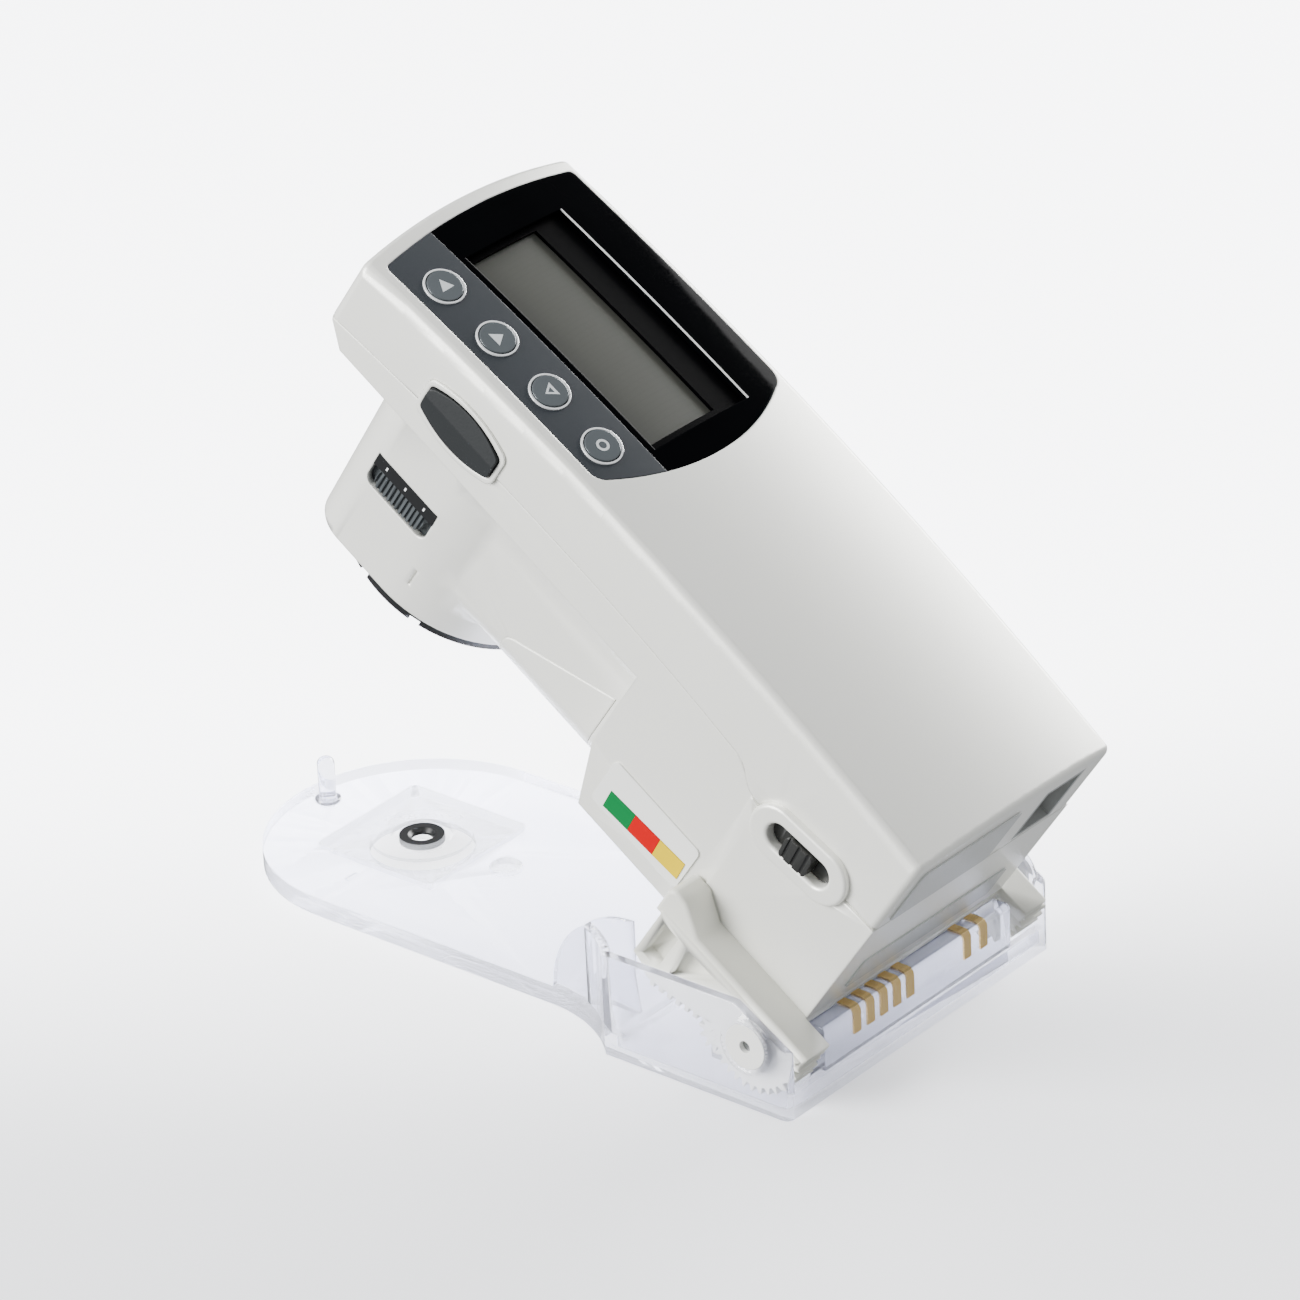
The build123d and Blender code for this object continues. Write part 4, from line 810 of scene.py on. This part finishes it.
class MeterStage(bpy.types.PropertyGroup):
    """Camera, floor and light of the studio."""

    lens: bpy.props.FloatProperty(
        name="Lens",
        description="Focal length of the camera's lens",
        default=203.23,
        min=20.0,
        max=400.0,
        unit="CAMERA",
    )
    sensor: bpy.props.FloatProperty(
        name="Sensor",
        description="Width of the camera's sensor",
        default=36.0,
        min=10.0,
        max=60.0,
        unit="CAMERA",
    )
    eye: bpy.props.FloatVectorProperty(
        name="Camera place",
        description="Where the camera stands",
        subtype="TRANSLATION",
        unit="LENGTH",
        default=(0.93188, -1.070496, 0.791951),
    )
    azimuth: bpy.props.FloatProperty(
        name="Azimuth",
        description="Turn of the camera round the meter",
        subtype="ANGLE",
        default=radians(40.51),
    )
    elevation: bpy.props.FloatProperty(
        name="Elevation",
        description="Height of the camera above the horizon",
        subtype="ANGLE",
        default=radians(27.097),
    )
    roll: bpy.props.FloatProperty(
        name="Roll",
        description="Turn of the camera about its own axis",
        subtype="ANGLE",
        default=radians(-2.737),
    )
    floor_tone: bpy.props.FloatVectorProperty(
        name="Floor tone",
        description="Colour of the studio floor",
        subtype="COLOR",
        default=linear("F1F2F5"),
        min=0.0,
        max=1.0,
    )
    # The floor's glow is painted light, dim on the camera's side and bright behind the meter
    near_glow: bpy.props.FloatProperty(
        name="Near floor glow",
        description="Painted glow of the paper on the camera's side",
        default=0.45,
        min=0.0,
        max=20.0,
    )
    far_glow: bpy.props.FloatProperty(
        name="Far floor glow",
        description="Painted glow of the paper behind the meter",
        default=5.5,
        min=0.0,
        max=20.0,
    )
    glow_from: bpy.props.FloatProperty(
        name="Glow start",
        description="Where the paper starts to brighten, measured away from the camera",
        default=-0.11,
        unit="LENGTH",
    )
    glow_to: bpy.props.FloatProperty(
        name="Glow end",
        description="Where the paper reaches its full glow, measured away from the camera",
        default=0.12,
        unit="LENGTH",
    )
    sky: bpy.props.FloatProperty(
        name="Room light",
        description="Strength of the even light all round",
        default=0.7,
        min=0.0,
        max=3.0,
    )
    key_power: bpy.props.FloatProperty(
        name="Key light",
        description="Power of the soft light on the near left",
        default=84.0,
        unit="POWER",
    )
    top_power: bpy.props.FloatProperty(
        name="Overhead light",
        description="Power of the large soft light above",
        default=7.0,
        unit="POWER",
    )
    rim_power: bpy.props.FloatProperty(
        name="Rim light",
        description="Power of the soft light behind on the right",
        default=48.0,
        unit="POWER",
    )
    aim_height: bpy.props.FloatProperty(
        name="Aim height",
        description="Height over the floor that the lights are turned to",
        default=0.07,
        unit="LENGTH",
    )


class METER_OT_case(bpy.types.Operator):
    """Finish the case halves, the battery cover and the raised trims in pearl lacquer"""

    bl_idname = "meter.case"
    bl_label = "Case"

    def execute(self, context):
        lacquer = pearl_paint()
        for name in ("upper_case", "lower_case", "battery_cover", "measure_bezel", "scan_frame"):
            skin(name, lacquer)
        return {"FINISHED"}


class METER_OT_base(bpy.types.Operator):
    """Finish the clear base, its target window and the peg, and the black rings"""

    bl_idname = "meter.base"
    bl_label = "Clear base"

    def execute(self, context):
        look = context.scene.meter_finishes
        body = clear_plastic("clear_polycarbonate", look.clear_tint, clarity=0.9)
        pane = finish_named("clear_acrylic_pane")
        block = clear_plastic("clear_polycarbonate_block", look.block_tint, clarity=0.85)
        for name, clear in (
            ("base_shell", body),
            ("locating_peg", body),
            ("contact_block", block),
            ("target_insert", pane),
            ("index_plug", pane),
        ):
            piece = skin(name, clear)
            # The clear walls throw no shadow, so that the gears inside stay lit
            piece.visible_shadow = name == "contact_block"
        black = finish_named("moulded_black_nylon")
        for name in ("target_ring", "skirt_ring"):
            skin(name, black)
        return {"FINISHED"}


class METER_OT_hinge(bpy.types.Operator):
    """Finish the yoke, its gear, the damper, the hinge hardware and the contact strips"""

    bl_idname = "meter.hinge"
    bl_label = "Hinge"

    def execute(self, context):
        ivory = acetal()
        for name in ("yoke", "damper_pinion"):
            skin(name, ivory)
        skin("hub_caps", finish_named("moulded_white_acetal"))
        cover(("hinge_pin", "lift_spring"), finish_named("ground_steel"))
        skin("damper_housing", finish_named("moulded_grey_nylon"))
        skin("contact_strips", gold_plating())
        return {"FINISHED"}


class METER_OT_display(bpy.types.Operator):
    """Finish the display window, the LCD and the keypad strip, and paint a highlight along the window's far edge
    """

    bl_idname = "meter.display"
    bl_label = "Display"

    def execute(self, context):
        skin("display_window", finish_named("hard_coated_black_acrylic"))
        skin("lcd_panel", lcd_cell())
        cover(("lcd_frame",), finish_named("moulded_black_abs"))
        skin("keypad_panel", finish_named("printed_slate_film"))
        # A pale strip of painted highlight along the far edge of the window
        window_edge(finish_named("painted_window_edge_highlight"))
        return {"FINISHED"}


class METER_OT_keys(bpy.types.Operator):
    """Finish the four round keys and their bright rings, and lay a mark on each key"""

    bl_idname = "meter.keys"
    bl_label = "Keys"

    def execute(self, context):
        satin = finish_named("satin_silver_lacquer")
        for name in KEY_MARKS:
            skin(name, satin)
        skin("key_rings", finish_named("bright_trim"))
        ink = finish_named("pale_key_print")
        for name, (corners, hole) in KEY_MARKS.items():
            key_mark(name, corners, hole, ink)
        return {"FINISHED"}


class METER_OT_controls(bpy.types.Operator):
    """Finish the scan button, the measuring switch and the filter slider"""

    bl_idname = "meter.controls"
    bl_label = "Side controls"

    def execute(self, context):
        skin("scan_button", finish_named("charcoal_elastomer"))
        dark = finish_named("moulded_dark_abs")
        for name in ("measure_switch", "measure_plate"):
            skin(name, dark)
        skin("filter_slider", finish_named("moulded_slate_abs"))
        skin("filter_index", finish_named("printed_black_film"))
        middle = middle_of("filter_index")
        near_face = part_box("filter_index")[0][1]
        marks = grow_row(
            "filter_index_marks",
            bar_row(finish_named("white_index_print")),
            {
                "Count": BAR_COUNT,
                "First": Vector((middle.x, near_face - BAR_LIFT * MM, middle.z)) - AHEAD * BAR_STEP * MM,
                "Step": AHEAD * BAR_STEP * MM,
                "Size": BAR_SIZE * MM,
                "Turn": Vector((0.0, TILT, 0.0)),
            },
            body_of_node["filter_index"],
        )
        return {"FINISHED"}


class METER_OT_plates(bpy.types.Operator):
    """Finish the tint bars and the bare plates on the case"""

    bl_idname = "meter.plates"
    bl_label = "Plates and tint bars"

    def execute(self, context):
        cover(("tint_plate",), finish_named("satin_label_film"))
        cover(("rating_plate", "end_plate"), finish_named("silver_label_film"))
        for tint in ("green", "red", "yellow"):
            cover((f"tint_{tint}",), finish_named(f"screen_ink_{tint}"))
        return {"FINISHED"}


class METER_OT_inside(bpy.types.Operator):
    """Finish the parts inside the case and the cable port"""

    bl_idname = "meter.inside"
    bl_label = "Inside"

    def execute(self, context):
        cover(("main_board",), circuit_board())
        cover(("optics_barrel", "sensor_block", "port_socket"), finish_named("anodised_black"))
        cover(("port_well",), finish_named("moulded_grey_abs"))
        cover(("lamp_ring",), finish_named("white_ceramic"))
        cover(("battery_pack",), finish_named("shrink_wrapped_cell"))
        cover(("key_mat",), finish_named("silicone_mat"))
        cover(("case_screws",), finish_named("zinc_plated_steel"))
        cover(("aperture_glass",), optical_glass())
        return {"FINISHED"}


class METER_OT_stage(bpy.types.Operator):
    """Set the floor, the lights and the camera"""

    bl_idname = "meter.stage"
    bl_label = "Stage"

    def execute(self, context):
        look = context.scene.meter_stage
        self.lay_floor(look)
        self.hang_softbox(look, "near_left_softbox", spot=(-0.8, -1.3, 0.75), width=1.2, power=look.key_power)
        self.hang_softbox(look, "far_right_softbox", spot=(0.05, 1.4, 0.5), width=0.9, power=look.rim_power)
        self.hang_softbox(look, "overhead_softbox", spot=(-0.3, 0.1, 1.7), width=1.6, power=look.top_power)
        world = bpy.data.worlds.new("studio_room")
        context.scene.world = world
        world.use_nodes = True
        room = world.node_tree.nodes["Background"]
        room.inputs["Color"].default_value = (*linear("F6F8FC"), 1.0)
        room.inputs["Strength"].default_value = look.sky
        self.place_camera(context, look)
        return {"FINISHED"}

    def paper(self, look):
        """Seamless paper: matt, faintly clouded, and glowing as painted light that is brighter behind the meter.
        """
        finish, tree, shader, place = start_finish(
            "seamless_paper",
            {
                "Roughness": 0.55,
                "Specular IOR Level": 0.3,
                "Emission Color": (*look.floor_tone, 1.0),
            },
        )
        depth = add(
            tree,
            "ShaderNodeVectorMath",
            settings={"operation": "DOT_PRODUCT"},
            values={1: (-sin(look.azimuth), cos(look.azimuth), 0.0)},
            links={0: place},
        )
        # Painted light: the paper glows weakly on the camera's side and strongly behind the meter
        glow = add(
            tree,
            "ShaderNodeMapRange",
            settings={"interpolation_type": "SMOOTHSTEP"},
            values={
                "From Min": look.glow_from,
                "From Max": look.glow_to,
                "To Min": look.near_glow,
                "To Max": look.far_glow,
            },
            links={"Value": depth.outputs["Value"]},
        )
        tree.links.new(glow.outputs["Result"], shader.inputs["Emission Strength"])
        cloud = add(
            tree,
            "ShaderNodeTexNoise",
            values={"Scale": 1 / (60 * MM), "Detail": 6.0},
            links={"Vector": place},
        )
        shade = [0.985 * part for part in look.floor_tone]
        tone = add(
            tree,
            "ShaderNodeMix",
            settings={"data_type": "RGBA"},
            values={MIX_FIRST: (*look.floor_tone, 1.0), MIX_SECOND: (*shade, 1.0)},
            links={MIX_SHARE: cloud.outputs["Fac"]},
        )
        tree.links.new(tone.outputs[MIX_RESULT], shader.inputs["Base Color"])
        return finish

    def lay_floor(self, look):
        """A wide sheet of paper whose glow doesn't light the meter."""
        shell = bmesh.new()
        bmesh.ops.create_grid(shell, x_segments=8, y_segments=8, size=5.0)
        mesh = bpy.data.meshes.new("studio_floor")
        shell.to_mesh(mesh)
        shell.free()
        mesh.materials.append(self.paper(look))
        floor = bpy.data.objects.new("studio_floor", mesh)
        bpy.context.scene.collection.objects.link(floor)
        floor.visible_diffuse = False
        floor.visible_glossy = False

    def hang_softbox(self, look, name, spot, width, power):
        """A round soft light, turned to the meter."""
        lamp = bpy.data.lights.new(name, "AREA")
        lamp.shape = "DISK"
        lamp.size = width
        lamp.energy = power
        light = bpy.data.objects.new(name, lamp)
        light.location = spot
        aim = Vector((0.0, 0.0, look.aim_height)) - Vector(spot)
        light.rotation_euler = aim.to_track_quat("-Z", "Y").to_euler()
        bpy.context.scene.collection.objects.link(light)

    def place_camera(self, context, look):
        """Stand the camera where the photograph was taken from."""
        back = Vector(
            (
                sin(look.azimuth) * cos(look.elevation),
                -cos(look.azimuth) * cos(look.elevation),
                sin(look.elevation),
            )
        )
        right = (-back).cross(Vector((0.0, 0.0, 1.0))).normalized()
        up = right.cross(-back)
        rolled_right = right * cos(look.roll) + up * sin(look.roll)
        rolled_up = up * cos(look.roll) - right * sin(look.roll)
        lens = bpy.data.cameras.new("photo_camera")
        lens.lens = look.lens
        lens.sensor_width = look.sensor
        lens.clip_end = 50.0
        camera = bpy.data.objects.new("photo_camera", lens)
        turn = Matrix((rolled_right, rolled_up, back)).transposed().to_4x4()
        camera.matrix_world = Matrix.Translation(Vector(look.eye)) @ turn
        context.scene.collection.objects.link(camera)
        context.scene.camera = camera


class METER_PT_dressing(bpy.types.Panel):
    """The meter's finishes and the steps that put them on"""

    bl_label = "Color Meter"
    bl_idname = "METER_PT_dressing"
    bl_space_type = "VIEW_3D"
    bl_region_type = "UI"
    bl_category = "Color Meter"

    def draw(self, context):
        layout = self.layout
        for group in (context.scene.meter_finishes, context.scene.meter_stage):
            for name in group.bl_rna.properties.keys():
                if name not in ("rna_type", "name"):
                    layout.prop(group, name)
        for step in STEPS:
            layout.operator(step.bl_idname)


STEPS = (
    METER_OT_case,
    METER_OT_base,
    METER_OT_hinge,
    METER_OT_display,
    METER_OT_keys,
    METER_OT_controls,
    METER_OT_plates,
    METER_OT_inside,
    METER_OT_stage,
)
CLASSES = (MeterFinishes, MeterStage, *STEPS, METER_PT_dressing)


def register():
    for each in CLASSES:
        bpy.utils.register_class(each)
    bpy.types.Scene.meter_finishes = bpy.props.PointerProperty(type=MeterFinishes)
    bpy.types.Scene.meter_stage = bpy.props.PointerProperty(type=MeterStage)


def unregister():
    del bpy.types.Scene.meter_stage
    del bpy.types.Scene.meter_finishes
    for each in reversed(CLASSES):
        bpy.utils.unregister_class(each)


def main():
    register()
    bpy.ops.meter.case()
    bpy.ops.meter.base()
    bpy.ops.meter.hinge()
    bpy.ops.meter.display()
    bpy.ops.meter.keys()
    bpy.ops.meter.controls()
    bpy.ops.meter.plates()
    bpy.ops.meter.inside()
    bpy.ops.meter.stage()


if __name__ == "__main__":
    main()
